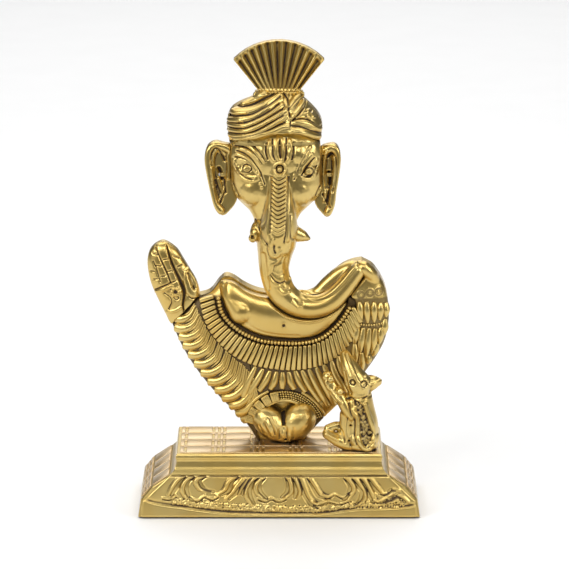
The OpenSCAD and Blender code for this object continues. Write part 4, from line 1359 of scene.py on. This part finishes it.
edge_line = dropped([(-56, 9.2), (-50, 7.2), (-38, 5.4), (-22, 3.4), (1, 2.8), (17, 3.0), (25.5, 4.1),
                     (33, 4.9), (45, 5.3), (52.5, 5.8), (56, 6.6)])
work += [pad([tuple(p) for p in curve(edge_line, 3)] + dropped([(60, 0), (-60, 0)]), 0.55, 0.7, False)]
work += grooves(0.9, 0.35, [(x, z + 0.7) for x, z in edge_line], dirt=0.45)
work += grooves(0.6, 0.5, dropped([(-44, 18.3), (-20, 18.2), (0, 18.2), (20, 18.2), (44, 18.3)]), dirt=0.9)
sculpt(carving, work, 0.2)
find_hollows(carving)
piece("plinth_carving", carving)

# %% [markdown]
# ## Floor, light and camera
# A pale floor, a few large soft lights and a long lens from a little above. Polished metal
# shows what is round it: white panels for the bright streaks, a dim room for the rest. The
# floor stops a little in front of the idol, so that the metal facing the viewer mirrors the
# dim room and not a white sheet.

# %% Floor
bm = bmesh.new()
bmesh.ops.create_grid(bm, x_segments=1, y_segments=1, size=1)
bmesh.ops.scale(bm, vec=(1.6, 1.7, 1), verts=bm.verts)
bmesh.ops.translate(bm, vec=(0, 1.42, 0), verts=bm.verts)
floor_mesh = to_mesh(bm, "floor")
floor = placed("floor", floor_mesh)
material, shader, place = new_material("pale_floor")
speck = place.node("ShaderNodeTexNoise", i0=place, Scale=30.0)
feed(speck.colour((0.91, 0.91, 0.91, 1), (0.94, 0.94, 0.94, 1)), shader, "Base Color")
shader.inputs["Roughness"].default_value = 0.8
floor_mesh.materials.append(material)

# %% Lights
def panel_light(name, at, aim, size, power, tint=(1, 1, 1)):
    """A soft rectangular lamp, turned towards a point."""
    lamp = bpy.data.lights.new(name, "AREA")
    lamp.shape, lamp.size, lamp.size_y, lamp.energy, lamp.color = "RECTANGLE", size[0], size[1], power, tint
    made = placed(name, lamp)
    made.location = at
    made.rotation_euler = (Vector(aim) - Vector(at)).to_track_quat("-Z", "Y").to_euler()


middle = (0, 0, 0.1)
panel_light("left_panel", (-0.80, -0.75, 0.62), middle, (0.40, 0.7), 5.4)
panel_light("left_window", (-0.42, -0.95, 0.85), middle, (0.16, 0.26), 1.6)
panel_light("right_window", (0.30, -1.0, 0.75), middle, (0.12, 0.22), 1.0)
panel_light("right_panel", (0.90, -0.62, 0.55), middle, (0.35, 0.75), 4.4)
panel_light("front_panel", (0.12, -1.5, 1.15), middle, (0.5, 0.35), 3.1)
panel_light("top_panel", (0.0, 0.35, 1.3), (0, 0.35, 0), (1.6, 1.2), 13.5)
panel_light("back_panel", (0.0, 1.5, 0.9), (0, 0.4, 0.1), (1.6, 0.8), 8)
world = bpy.data.worlds.new("studio")
world.use_nodes = True
world.node_tree.nodes["Background"].inputs["Color"].default_value = (0.13, 0.13, 0.13, 1)
world.node_tree.nodes["Background"].inputs["Strength"].default_value = 1.0
bpy.context.scene.world = world
bpy.context.scene.view_settings.view_transform = "Standard"

# %% Camera
lens = bpy.data.cameras.new("camera")
lens.lens, lens.sensor_width, lens.clip_start, lens.clip_end = 250, 36, 0.05, 20
camera = placed("camera", lens)
aim, away, pitch = Vector((0.0022, 0, 0.0912)), 1.601, math.radians(13.47)
camera.location = aim + Vector((0, -math.cos(pitch), math.sin(pitch))) * away
camera.rotation_euler = (math.radians(90) - pitch, 0, 0)
bpy.context.scene.camera = camera
